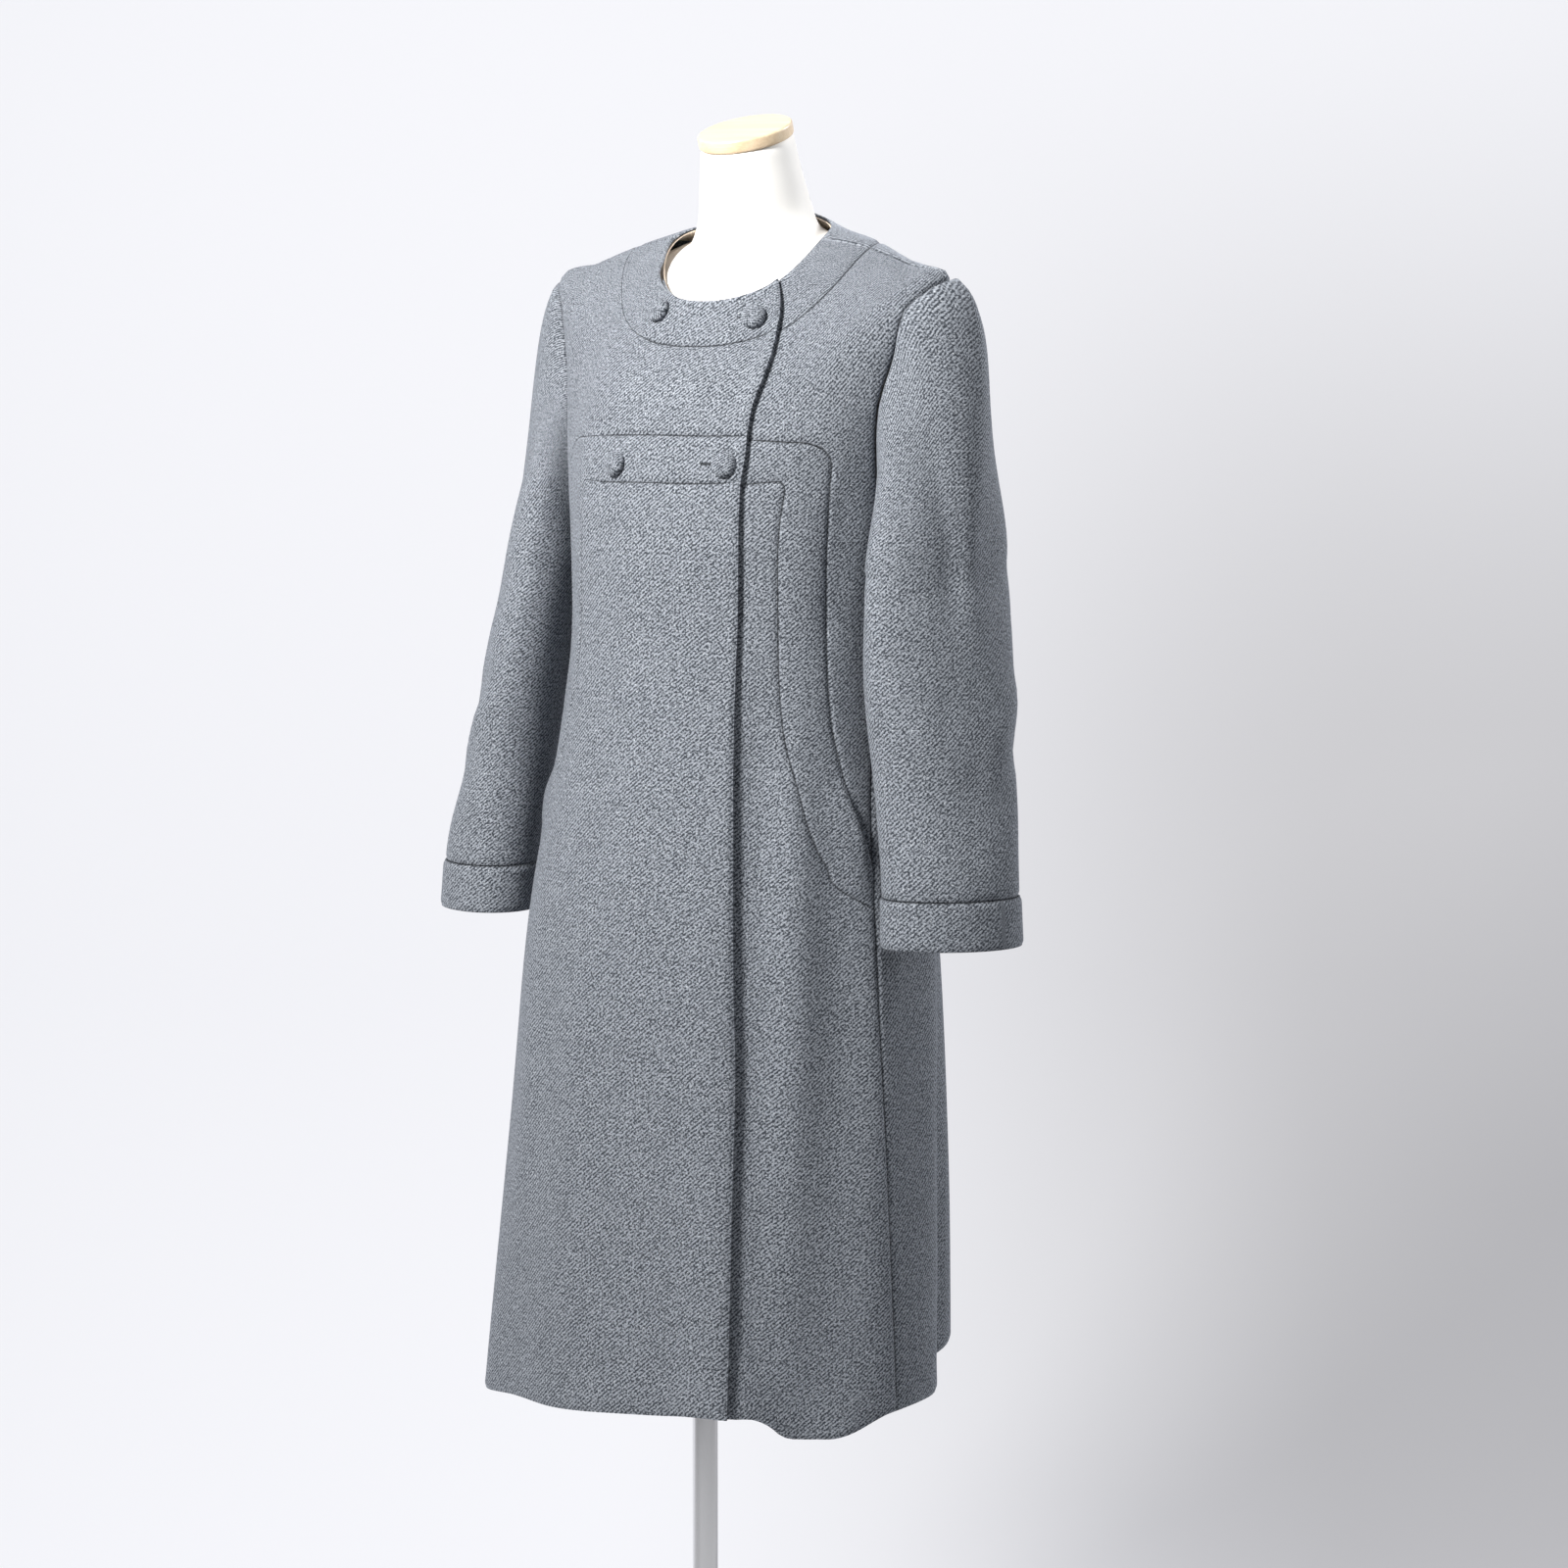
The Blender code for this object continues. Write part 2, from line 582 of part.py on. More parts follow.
def make_fronts(wool, lining):
    for side, name, base, shift in ((1, "left", flat, 0.0), (-1, "right", upper_front, LAP_SHIFT)):
        outer = band_outer(shift)
        inner = band_inner(outer)
        seam_foot = side_seam(1, HEM_AT_SIDE, inner[-1][1])
        edge_foot = at_angle(-float(edge_angle(HEM_IN_FRONT)), HEM_IN_FRONT)
        yoke = [
            *front_edge(1, NECK_SEAM, outer[0][1])[:-1],
            *outer,
            *side_seam(1, POCKET_END, UNDERARM)[1:-1],
            *armhole(1),
            *shoulder_seam(1)[1:-1],
            *ring_edge(NECK_SEAM, 90.0, -float(edge_angle(NECK_SEAM)))[:-1],
        ]
        band = [
            *front_edge(1, outer[0][1], inner[0][1])[:-1],
            *inner,
            *side_seam(1, inner[-1][1], POCKET_END)[1:-1],
            *outer[::-1][:-1],
        ]
        hem_line = sided(side, hem(side * edge_foot[0], side * seam_foot[0][0]))
        skirt = [
            *front_edge(1, inner[0][1], hem_line[0][1])[:-1],
            *hem_line,
            *seam_foot[1:-1],
            *inner[::-1][:-1],
        ]
        stand = with_lip(side, base, outer)
        wall(f"front_yoke_{name}", sided(side, yoke), wool, base)
        wall(f"front_band_{name}", sided(side, band), wool, stand)
        wall(f"front_skirt_{name}", sided(side, skirt), wool, stand)
        make_pocket(f"pocket_bag_{name}", side, outer, lining)


def make_pocket(name, side, seam, lining):
    """The pocket's inner layer, which shows in the open mouth and lies behind the band."""
    mouth = [p for p in seam if p[1] < POCKET_TOP - 0.02]
    last = mouth[-1][0] - 1.5
    top = [(min(angle + 1.5, last), level + 0.004) for angle, level in mouth if angle < last - 1.0]
    bottom = [(angle - 9.0, level - 0.030) for angle, level in mouth if angle < last - 1.0]
    outline = [*top, (last, POCKET_END - 0.036), *bottom[::-1]]
    wall(name, sided(side, outline), lining, bag_depth, FACING)


def make_back(wool):
    seam = side_seam(1, HEM_AT_SIDE, UNDERARM)
    first, last = seam[0][0], 360.0 - seam[0][0]
    around = [(360.0 - a, level) for a, level in seam]
    hole = [(a % 360.0, level) for a, level in armhole(1, behind=True)]
    other = [(360.0 - a, level) for a, level in hole]
    outline = [
        *seam[::-1][:-1],
        *hem(first, last),
        *around[1:-1],
        *other,
        *[(360.0 - a, level) for a, level in shoulder_seam(1)][1:-1],
        *ring_edge(NECK_SEAM, 270.0, 90.0),
        *shoulder_seam(1)[::-1][1:-1],
        *hole[::-1][:-1],
    ]
    wall("back", outline, wool)


def make_neck(wool, lining):
    edges = [float(edge_angle(level)) for level in (NECKLINE, NECK_SEAM)]
    for side, name, base in ((1, "left", flat), (-1, "right", upper_front)):
        outline = [
            *ring_edge(NECK_SEAM, -edges[1], 90.0),
            *ring_edge(NECKLINE, 90.0, -edges[0]),
        ]
        wall(f"neck_band_{name}", sided(side, outline), wool, base, spacing=(MESH_NECK, MESH_NECK))
    outline = [*ring_edge(NECK_SEAM, 90.0, 270.0), *ring_edge(NECKLINE, 270.0, 90.0)]
    wall("neck_band_back", outline, wool, spacing=(MESH_NECK, MESH_NECK))
    make_facing(lining)


def make_facing(lining):
    """The inner facing is a ring of its own under the neck band."""
    angles = np.arange(0.0, 360.0, 8.0)
    levels = np.array([NECKLINE - 0.0015, NECKLINE - FACING_DEPTH / 2, NECKLINE - FACING_DEPTH])
    angle, level = (grid.ravel() for grid in np.meshgrid(angles, levels))
    base, normal = coat(angle, level), normals(coat, angle, level)
    outer, inner = base - normal * FACING_INSET, base - normal * (FACING_INSET + FACING)
    close_wall("neck_facing", outer, inner, tube_faces(len(angles), len(levels)), lining)


def tube_faces(around, rows):
    """Faces of a tube whose rows run downward, each going round by growing angle."""
    faces = []
    for row in range(rows - 1):
        for i in range(around):
            j = (i + 1) % around
            faces.append([row * around + i, (row + 1) * around + i, (row + 1) * around + j, row * around + j])
    return faces


# ---------------------------------------------------------------- sleeves
def armhole_ring(side):
    """The armhole as a loop from the shoulder's tip round the front: its turns in degrees and its points."""
    front = armhole(side)[::-1]
    rear = armhole(side, behind=True)[1:-1]
    loop = np.array(front + rear)
    points = coat(loop[:, 0], loop[:, 1])
    turns = []
    for part in (points[: len(front)], np.vstack([points[len(front) - 1 :], points[:1]])):
        run = np.concatenate([[0], np.cumsum(np.linalg.norm(np.diff(part, axis=0), axis=1))])
        turns.append(180.0 * run / run[-1])
    return np.concatenate([turns[0], 180.0 + turns[1][1:-1]]), points


def sleeve_ring(side, turn, height):
    """The sleeve's section below the armhole: turn runs from its outer middle round the front."""
    x, y, long_axis, short_axis, twist = (smooth(SLEEVE_RINGS, height, c) for c in range(1, 6))
    a = np.radians(turn)
    b = a + np.radians(twist)
    radius = 1 / np.sqrt((np.cos(b) / long_axis) ** 2 + (np.sin(b) / short_axis) ** 2)
    return np.stack([side * (x + radius * np.cos(a)), y - radius * np.sin(a), np.broadcast_to(height, a.shape)], -1)


def sleeve(side, ring, turn, run):
    """Points of a sleeve: run goes from 0 at the armhole to 1 at the first ring and 2 at the cuff's end."""
    turns, points = ring
    turn, run = np.broadcast_arrays(np.asarray(turn, float) % 360.0, np.asarray(run, float))
    wrapped = np.append(turns, 360.0)
    start = np.stack([np.interp(turn, wrapped, np.append(points[:, c], points[0, c])) for c in range(3)], -1)
    high, low = SLEEVE_RINGS[0][0], SLEEVE_RINGS[-1][0]
    below = high + (low - high) * np.clip(run - 1, 0, None)
    end = sleeve_ring(side, turn, below)
    a = np.radians(turn)
    top, rear = (1 + np.cos(a)) / 2, np.clip(-np.sin(a), 0, None)
    off = np.stack([side * (0.35 + 0.45 * top), -0.45 * np.sin(a) + 0.35 * rear, -0.95 + 0.35 * top], -1)
    off = off / np.linalg.norm(off, axis=-1, keepdims=True)
    reach = (0.05 + (CAP_EASE - 0.05) * top + 0.03 * rear)[..., None]
    down = np.array([side * 0.09, -0.13, -1.0])
    t = np.clip(run, 0, 1)[..., None]
    cap = (
        (2 * t**3 - 3 * t**2 + 1) * start
        + (t**3 - 2 * t**2 + t) * off * reach
        + (3 * t**2 - 2 * t**3) * end
        + (t**3 - t**2) * down * reach
    )
    return np.where(run[..., None] < 1, cap, end)


def sleeve_wall(name, side, ring, turns, runs, finish, proud=0.0):
    """A piece of sleeve between the first and last turn, or a whole tube where turns go all round."""
    surface = lambda t, r: sleeve(side, ring, t, r)
    turn, run = (grid.ravel() for grid in np.meshgrid(turns, runs))
    base = surface(turn, run)
    step = 0.004
    along = surface(turn + 1.0, run) - surface(turn - 1.0, run)
    downward = surface(turn, run + step) - surface(turn, np.maximum(run - step, 0.0005))
    normal = np.cross(downward, along) * side
    normal = -normal / np.linalg.norm(normal, axis=-1, keepdims=True)
    outer, inner = base + normal * proud, base + normal * (proud - CLOTH)
    if turns[-1] - turns[0] > 340:
        faces = tube_faces(len(turns), len(runs))
    else:
        faces = strip_faces(len(turns), len(runs))
    if side > 0:
        faces = [face[::-1] for face in faces]
    return close_wall(name, outer, inner, faces, finish)


def strip_faces(across, rows):
    faces = []
    for row in range(rows - 1):
        for i in range(across - 1):
            a = row * across + i
            faces.append([a, a + across, a + across + 1, a + 1])
    return faces


def between(turns, first, last):
    """The armhole's own turns between two seams, with each seam's end a hair inside."""
    wide = np.concatenate([turns - 360.0, turns, turns + 360.0])
    hair = 0.25
    kept = wide[(wide > first + 3.0) & (wide < last - 3.0)]
    return np.concatenate([[first + hair], kept, [last - hair]])


def make_sleeves(wool):
    first, low = SLEEVE_RINGS[0][0], SLEEVE_RINGS[-1][0]
    cuff_run = 1 + (first - CUFF_TOP) / (first - low)
    gap = SEAM_GAP / (first - low)
    cap = np.linspace(0.0, 1.0, CAP_ROWS + 1)
    cap[0] = 0.004
    runs = np.concatenate([cap, np.linspace(1.0, cuff_run - gap, SLEEVE_ROWS + 1)[1:]])
    cuff = np.linspace(cuff_run + gap, 2.0, 3)
    for side, name in ((1, "left"), (-1, "right")):
        ring = armhole_ring(side)
        turns = ring[0]
        upper = between(turns, -SLEEVE_SEAM, SLEEVE_SEAM)
        under = between(turns, SLEEVE_SEAM, 360.0 - SLEEVE_SEAM)
        sleeve_wall(f"sleeve_top_{name}", side, ring, upper, runs, wool)
        sleeve_wall(f"sleeve_under_{name}", side, ring, under, runs, wool)
        sleeve_wall(f"cuff_{name}", side, ring, turns, cuff, wool, CUFF_PROUD)


# ---------------------------------------------------------------- buttons, form and stand
def button_mesh():
    """A domed, cloth-covered button on its flat back."""
    mesh = bpy.data.meshes.new("button")
    made = bmesh.new()
    bmesh.ops.create_cone(
        made, cap_ends=True, segments=20, radius1=BUTTON_RADIUS * 0.93, radius2=BUTTON_RADIUS, depth=BUTTON_EDGE
    )
    bmesh.ops.translate(made, verts=made.verts, vec=(0, 0, BUTTON_EDGE / 2))
    for thickness, rise in BUTTON_DOME:
        top = [face for face in made.faces if len(face.verts) > 4 and face.normal.z > 0.9]
        bmesh.ops.inset_region(made, faces=top, thickness=thickness, depth=rise, use_even_offset=True)
    made.to_mesh(mesh)
    made.free()
    return mesh


def make_buttons(wool):
    mesh = button_mesh()
    for name, x, height in BUTTONS:
        angle, level = place(abs(x), height, 1 if x > 0 else -1)
        where = np.array([angle]), np.array([level])
        normal = Vector(normals(coat, *where)[0])
        off = float(upper_front(*where)[0]) + BUTTON_GAP
        button = add_object(name, mesh, wool)
        button.location = Vector(coat(*where)[0]) + normal * off
        button.rotation_euler = normal.to_track_quat("Z", "Y").to_euler()


def make_torso(finish):
    around = 30
    angles = np.arange(around) * 360.0 / around
    levels = []
    rows = [row[0] for row in TORSO_RINGS]
    for high, low in zip(rows, rows[1:]):
        levels += [high, (high + low) / 2]
    levels = np.array([*levels, rows[-1]])
    angle, level = (grid.ravel() for grid in np.meshgrid(angles, levels))
    points = loft(TORSO_RINGS, angle, level)
    faces = tube_faces(around, len(levels))
    last = (len(levels) - 1) * around
    faces += [list(range(around)), list(range(last + around - 1, last - 1, -1))]
    add_mesh("form_torso", points, faces, finish)


def make_disc(name, radius, height, edge, finish, segments=48):
    """An upright disc that stands on its own origin, its rims rounded."""
    mesh = bpy.data.meshes.new(name)
    made = bmesh.new()
    bmesh.ops.create_cone(made, cap_ends=True, segments=segments, radius1=radius, radius2=radius, depth=height)
    bmesh.ops.translate(made, verts=made.verts, vec=(0, 0, height / 2))
    made.to_mesh(mesh)
    made.free()
    disc = add_object(name, mesh, finish)
    bevel = disc.modifiers.new("rims", "BEVEL")
    bevel.width, bevel.segments, bevel.limit_method = edge, 2, "ANGLE"
    return disc


def make_form(cover, wood, chrome):
    make_torso(cover)
    cap = make_disc("form_cap", CAP_RADIUS, CAP_HEIGHT, 0.002, wood)
    cap.location = CAP_CENTRE - CAP_AXIS * CAP_HEIGHT
    cap.rotation_euler = (CAP_TILT, 0, 0)
    pole = make_disc("stand_pole", POLE_RADIUS, TORSO_RINGS[-1][0] - BASE_HEIGHT - 0.0006, 0.0005, chrome, 24)
    pole.location.z = BASE_HEIGHT + 0.0003
    make_disc("stand_base", BASE_RADIUS, BASE_HEIGHT, 0.003, chrome)


COLLECTION = "collarless_coat_on_form"


def main():
    for old in list(bpy.data.objects):
        bpy.data.objects.remove(old)
    bpy.context.scene.collection.children.link(bpy.data.collections.new(COLLECTION))
    wool = material("wool", (0.16, 0.17, 0.18), 0.95)
    lining = material("lining", (0.62, 0.55, 0.46), 0.6)
    cover = material("form_cover", (0.86, 0.85, 0.82), 0.7)
    wood = material("cap_wood", (0.74, 0.55, 0.36), 0.45)
    chrome = material("chrome", (0.75, 0.75, 0.76), 0.12, 1.0)
    make_fronts(wool, lining)
    make_back(wool)
    make_neck(wool, lining)
    make_sleeves(wool)
    make_buttons(wool)
    make_form(cover, wood, chrome)


main()
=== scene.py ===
"""A collarless wool coat on a dress form with its stand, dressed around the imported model.

Units are metres and +Z is up. The coat's front faces -Y, the wearer's left side is +X and the origin is on
the floor at the pole. A place on the coat's surface is (angle, level): degrees round the body from the
centre front, and the height that the ring through the place has in front.
"""

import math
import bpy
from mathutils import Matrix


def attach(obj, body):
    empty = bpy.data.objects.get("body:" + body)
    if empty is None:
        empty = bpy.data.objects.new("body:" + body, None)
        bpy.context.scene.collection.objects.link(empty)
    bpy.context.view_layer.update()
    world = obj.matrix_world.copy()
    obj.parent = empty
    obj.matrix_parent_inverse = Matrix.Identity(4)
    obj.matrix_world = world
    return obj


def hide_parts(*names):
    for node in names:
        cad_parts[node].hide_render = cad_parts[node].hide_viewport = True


bl_info = {
    "name": "Collarless Coat on Dress Form",
    "version": (1, 0, 0),
    "blender": (4, 5, 0),
    "location": "View3D > Sidebar > Coat",
    "description": "Builds a double-breasted wool coat, its form and stand, and the studio around them",
    "category": "Object",
}

import bmesh
import bpy
import numpy as np
from bpy.props import FloatProperty, FloatVectorProperty, PointerProperty
from mathutils import Matrix, Vector
from mathutils.geometry import delaunay_2d_cdt

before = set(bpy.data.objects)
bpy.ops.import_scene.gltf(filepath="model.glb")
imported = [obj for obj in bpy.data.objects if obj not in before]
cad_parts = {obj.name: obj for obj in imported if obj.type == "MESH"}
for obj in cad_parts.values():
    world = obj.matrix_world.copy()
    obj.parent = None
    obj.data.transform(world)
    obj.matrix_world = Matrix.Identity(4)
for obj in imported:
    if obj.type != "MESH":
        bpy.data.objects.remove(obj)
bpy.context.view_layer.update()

# ---------------------------------------------------------------- the coat's sizes, as in its solids
CLOTH = 0.0025  # thickness of the wool
SEAM_GAP = 0.0004  # between two sewn pieces, edge to edge
LAYER_GAP = 0.0018  # between the two fronts where they lap
EDGE_STEP = 0.013  # spacing of the points on a curved cut edge
SEAM_STEP = 0.03  # and on the straighter ones down the sides
HEM_STEP = 4.0  # degrees
RING_STEP = 5.0  # degrees, on the neck's edges

NECKLINE = 1.316  # level of the neckline
NECK_SEAM = 1.277  # level of the seam under the neck band
UNDERARM = 1.118  # height of the armhole's lowest point
SHOULDER_TIP = 1.331  # height of the shoulder's end
SHOULDER_LEVEL = 1.215  # and the level of the ring that passes through it
BAND_TOP = 1.204  # height of the chest band's upper seam
BAND_WIDTH = 0.041
BAND_DIP = 0.006  # how far the chest band drops from the centre to its corner
POCKET_TOP = 0.925  # height where the pocket mouth begins
POCKET_END = 0.851  # height of the band's upper seam at the side
ROUND_SCALE = 0.150  # metres round the body per radian, near enough to lay the cloth out flat
FLAT_SCALE = np.array([math.radians(1) * ROUND_SCALE, 1.0])  # metres on it per degree and per level
FACING_DEPTH = 0.024  # how far the facing reaches down inside the neckline
FACING = 0.0010  # its thickness
FACING_INSET = CLOTH + 0.0014  # from the coat's outer face to the facing

LIP_STAND = 0.007  # how far the pocket's lip stands open
LIP_TURN = 7.0  # degrees from the lip's edge over which it still stands open
LIP_OPENS, LIP_CLOSES = 0.040, 0.035  # heights over which the mouth opens and closes
BAG_GAP = 0.0012  # from the cloth's inner face to the pocket's inner layer
BAG_ABOVE, BAG_BELOW = (1.5, 0.004), (9.0, 0.030)  # degrees and metres that it reaches round the mouth
BAG_DROP = 0.036  # and how far below the mouth's end

EDGE_STAND = 0.003  # how far the lapping front edge stands off lower down
EDGE_STAND_TURN = 14.0  # degrees from the edge over which it does
EDGE_STAND_DROP = (1.15, 0.5)  # level where that begins, and the drop to the whole of it
LAP_RISE = (22.0, 18.0)  # degrees before the under front's edge where the lap begins, and its rise

POLE_RADIUS = 0.011
BASE_RADIUS = 0.165
BASE_HEIGHT = 0.012
CAP_RADIUS = 0.0412
CAP_HEIGHT = 0.0115
CAP_RIM, POLE_RIM, BASE_RIM = 0.0022, 0.0006, 0.0035  # how far their rims are rounded
FORM_GAP = 0.0003  # left free at either end of the pole
CAP_TILT = math.radians(18.5)  # the neck is cut so that the cap's front is lower
CAP_CENTRE = Vector((0.0, 0.0617, 1.4634))  # middle of the cap's top

# The coat's rings, neckline to hem. "level" is the ring's height in front and "back" behind, and "rise"
# lifts its two sides, the more to a peak the larger "peak" is. "wide" is the half width and "reach" what
# the shoulders add to it, "middle" the place of the section's middle along Y, "fore" and "aft" its depth
# from there to the front and the back.
COAT_RINGS = (
    # level, back,  rise,  peak, wide,  middle, fore,  aft,  reach
    (1.316, 1.396, 0.014, 5.0, 0.0770, 0.0640, 0.062, 0.066, 0.000),
    (1.277, 1.360, 0.043, 4.0, 0.1210, 0.0700, 0.086, 0.088, 0.000),
    (1.246, 1.306, 0.072, 4.0, 0.1480, 0.0705, 0.107, 0.103, 0.014),
    (1.215, 1.262, 0.0925, 4.0, 0.1560, 0.0710, 0.121, 0.116, 0.042),
    (1.195, 1.242, 0.0570, 4.0, 0.1660, 0.0700, 0.126, 0.122, 0.015),
    (1.150, 1.180, 0.035, 4.0, 0.1660, 0.0670, 0.132, 0.128, 0.000),
    (1.110, 1.120, 0.004, 3.0, 0.1610, 0.0640, 0.134, 0.130, 0.000),
    (1.040, 1.040, 0.000, 2.0, 0.1570, 0.0610, 0.134, 0.130, 0.000),
    (0.950, 0.950, 0.000, 2.0, 0.1620, 0.0540, 0.137, 0.137, 0.000),
    (0.800, 0.800, 0.000, 2.0, 0.1850, 0.0430, 0.150, 0.155, 0.000),
    (0.600, 0.600, 0.000, 2.0, 0.1990, 0.0320, 0.153, 0.170, 0.000),
    (0.340, 0.340, 0.000, 2.0, 0.2100, 0.0220, 0.160, 0.178, 0.000),
)
REACH_TURN = 12  # the larger, the closer to the shoulder line the reach stays
FOLD_FOOT = 0.36  # level where a fold of the skirt has its whole depth
FOLD_LIMIT = 1.2  # and the most of it that it has below

# Folds of the skirt: where each stands at the hem, how wide it is, how deep at the hem (outward is
# positive) and the height where it starts.
SKIRT_FOLDS = (
    # angle, width, depth,  start
    (30.0, 13.0, 0.016, 0.98),
    (46.0, 9.0, -0.009, 0.90),
    (64.0, 12.0, 0.006, 0.85),
    (97.0, 6.5, 0.002, 1.00),
    (111.0, 7.5, -0.022, 1.04),
    (128.0, 8.0, 0.004, 1.02),
    (154.0, 12.0, -0.012, 0.95),
    (180.0, 13.0, 0.012, 0.95),
    (-152.0, 12.0, -0.010, 0.95),
    (-126.0, 12.0, 0.016, 1.00),
    (-100.0, 11.0, -0.008, 0.90),
    (-62.0, 18.0, 0.012, 0.95),
    (-30.0, 14.0, -0.004, 0.80),
)

# The hem's height round the body.
HEM = (
    # angle, height
    (-180.0, 0.425),
    (-120.0, 0.396),
    (-75.0, 0.365),
    (-56.0, 0.369),
    (-38.0, 0.376),
    (-20.0, 0.378),
    (0.0, 0.384),
    (12.0, 0.387),
    (24.0, 0.391),
    (33.0, 0.390),
    (38.0, 0.388),
    (44.0, 0.3725),
    (51.0, 0.3705),
    (58.0, 0.371),
    (65.0, 0.378),
    (72.0, 0.386),
    (80.0, 0.389),
    (98.0, 0.394),
    (125.0, 0.421),
    (180.0, 0.425),
)

# The armhole seen from the front: how far it stands from the centre at each height.
ARMHOLE_FRONT = (
    # height, x
    (1.331, 0.1980),
    (1.312, 0.1795),
    (1.290, 0.1738),
    (1.270, 0.1695),
    (1.254, 0.1652),
    (1.240, 0.1620),
    (1.217, 0.1592),
    (1.189, 0.1578),
    (1.160, 0.1572),
    (1.140, 0.1570),
    (1.127, 0.1585),
)
ARMHOLE_BACK = (
    (1.331, 0.1980),
    (1.312, 0.1810),
    (1.285, 0.1730),
    (1.250, 0.1650),
    (1.205, 0.1600),
    (1.172, 0.1570),
    (1.145, 0.1560),
    (1.127, 0.1580),
)

# The side seam's angle and the front edge's distance from the centre, at each height.
SIDE_SEAM = (
    # height, angle
    (1.118, 88.0),
    (1.040, 84.0),
    (0.950, 77.0),
    (0.850, 73.0),
    (0.760, 72.0),
    (0.600, 74.0),
    (0.340, 78.0),
)
FRONT_EDGE = (
    # height, x
    (1.340, 0.0500),
    (1.310, 0.0625),
    (1.285, 0.0735),
    (1.240, 0.0780),
    (1.190, 0.0742),
    (1.100, 0.0748),
    (1.000, 0.0752),
    (0.920, 0.0795),
    (0.860, 0.0857),
    (0.800, 0.0910),
    (0.740, 0.0950),
    (0.680, 0.0985),
    (0.600, 0.1000),
    (0.500, 0.1020),
    (0.340, 0.1050),
)

# The band's outer seam down the front: its distance from the centre at each height. Its inner seam runs
# a band's width nearer the centre.
BAND_OUTER = (
    # height, x
    (1.186, 0.1365),
    (1.140, 0.1345),
    (1.090, 0.1330),
    (1.000, 0.1350),
    (0.960, 0.1400),
    (0.920, 0.1490),
    (0.885, 0.1580),
    (0.862, 0.1665),
)
HEM_AT_SIDE = 0.3885
HEM_IN_FRONT = 0.3910
CORNER = 0.016  # radius of the band's outer corner
INNER_CORNER = 0.012  # and how far from its inner corner the seam starts to turn
QUARTERS = (0.25, 0.5, 0.75, 1.0)
LAP_SHIFT = 0.010  # how far the lapping front sits over towards the wearer's left

# Sleeve rings below the armhole: the section's centre, its long and short half axes, and the turn of the
# long axis from the body's sideways direction.
SLEEVE_RINGS = (
    # height, x,     y,      long,   short,  turn
    (1.085, 0.2010, 0.0540, 0.0735, 0.0365, 73.0),
    (1.000, 0.2128, 0.0386, 0.0715, 0.0400, 66.0),
    (0.905, 0.2270, 0.0280, 0.0625, 0.0410, 58.0),
    (0.850, 0.2360, 0.0190, 0.0590, 0.0430, 52.0),
    (0.783, 0.2410, 0.0150, 0.0600, 0.0430, 50.0),
)
CUFF_TOP = 0.824
CUFF_PROUD = 0.0016  # how far the cuff stands out from the sleeve
SLEEVE_SEAM = 112.0  # angle from the sleeve's outer middle to its two seams
CAP_EASE = 0.150  # length of the sleeve cap's curve off the armhole

# Rings of the torso and neck, in the coat rings' terms. The first is the slanted cut under the cap.
NECK_RADIUS = 0.0395
CAP_AXIS = Vector((0.0, -math.sin(CAP_TILT), math.cos(CAP_TILT)))
CAP_SEAT = CAP_CENTRE - CAP_AXIS * (CAP_HEIGHT + 0.0004)
SLANT = NECK_RADIUS * math.tan(CAP_TILT)
TORSO_RINGS = (
    (CAP_SEAT.z - SLANT, CAP_SEAT.z + SLANT, 0.0, 2.0, NECK_RADIUS, CAP_SEAT.y, NECK_RADIUS, NECK_RADIUS),
    (1.407, 1.434, 0.000, 2.0, 0.0440, 0.0715, 0.0440, 0.0430),
    (1.372, 1.409, 0.000, 2.0, 0.0495, 0.0780, 0.0500, 0.0450),
    (1.336, 1.388, 0.004, 2.0, 0.0610, 0.0740, 0.0560, 0.0520),
    (1.282, 1.366, 0.024, 2.4, 0.1020, 0.0690, 0.0720, 0.0680),
    (1.240, 1.325, 0.040, 3.0, 0.1340, 0.0690, 0.0880, 0.0870),
    (1.205, 1.280, 0.044, 4.0, 0.1500, 0.0690, 0.1020, 0.1000),
    (1.160, 1.200, 0.016, 4.0, 0.1500, 0.0670, 0.1110, 0.1060),
    (1.110, 1.115, 0.003, 3.0, 0.1460, 0.0640, 0.1140, 0.1060),
    (1.040, 1.040, 0.000, 2.0, 0.1320, 0.0600, 0.0980, 0.0920),
    (0.970, 0.970, 0.000, 2.0, 0.1300, 0.0560, 0.0940, 0.0960),
    (0.880, 0.880, 0.000, 2.0, 0.1480, 0.0500, 0.1020, 0.1150),
    (0.800, 0.800, 0.000, 2.0, 0.1560, 0.0440, 0.1060, 0.1200),
    (0.765, 0.765, 0.000, 2.0, 0.1480, 0.0420, 0.0980, 0.1120),
)

TORSO_AROUND, TORSO_STEP = 120, 0.009  # points round the torso, and height between its rows
RIM_HEIGHTS = (0.0025, 0.005)  # how high the torso's upper and lower rims are
RIM_SHARES = (0.025, 0.035)  # and the share by which they are drawn in

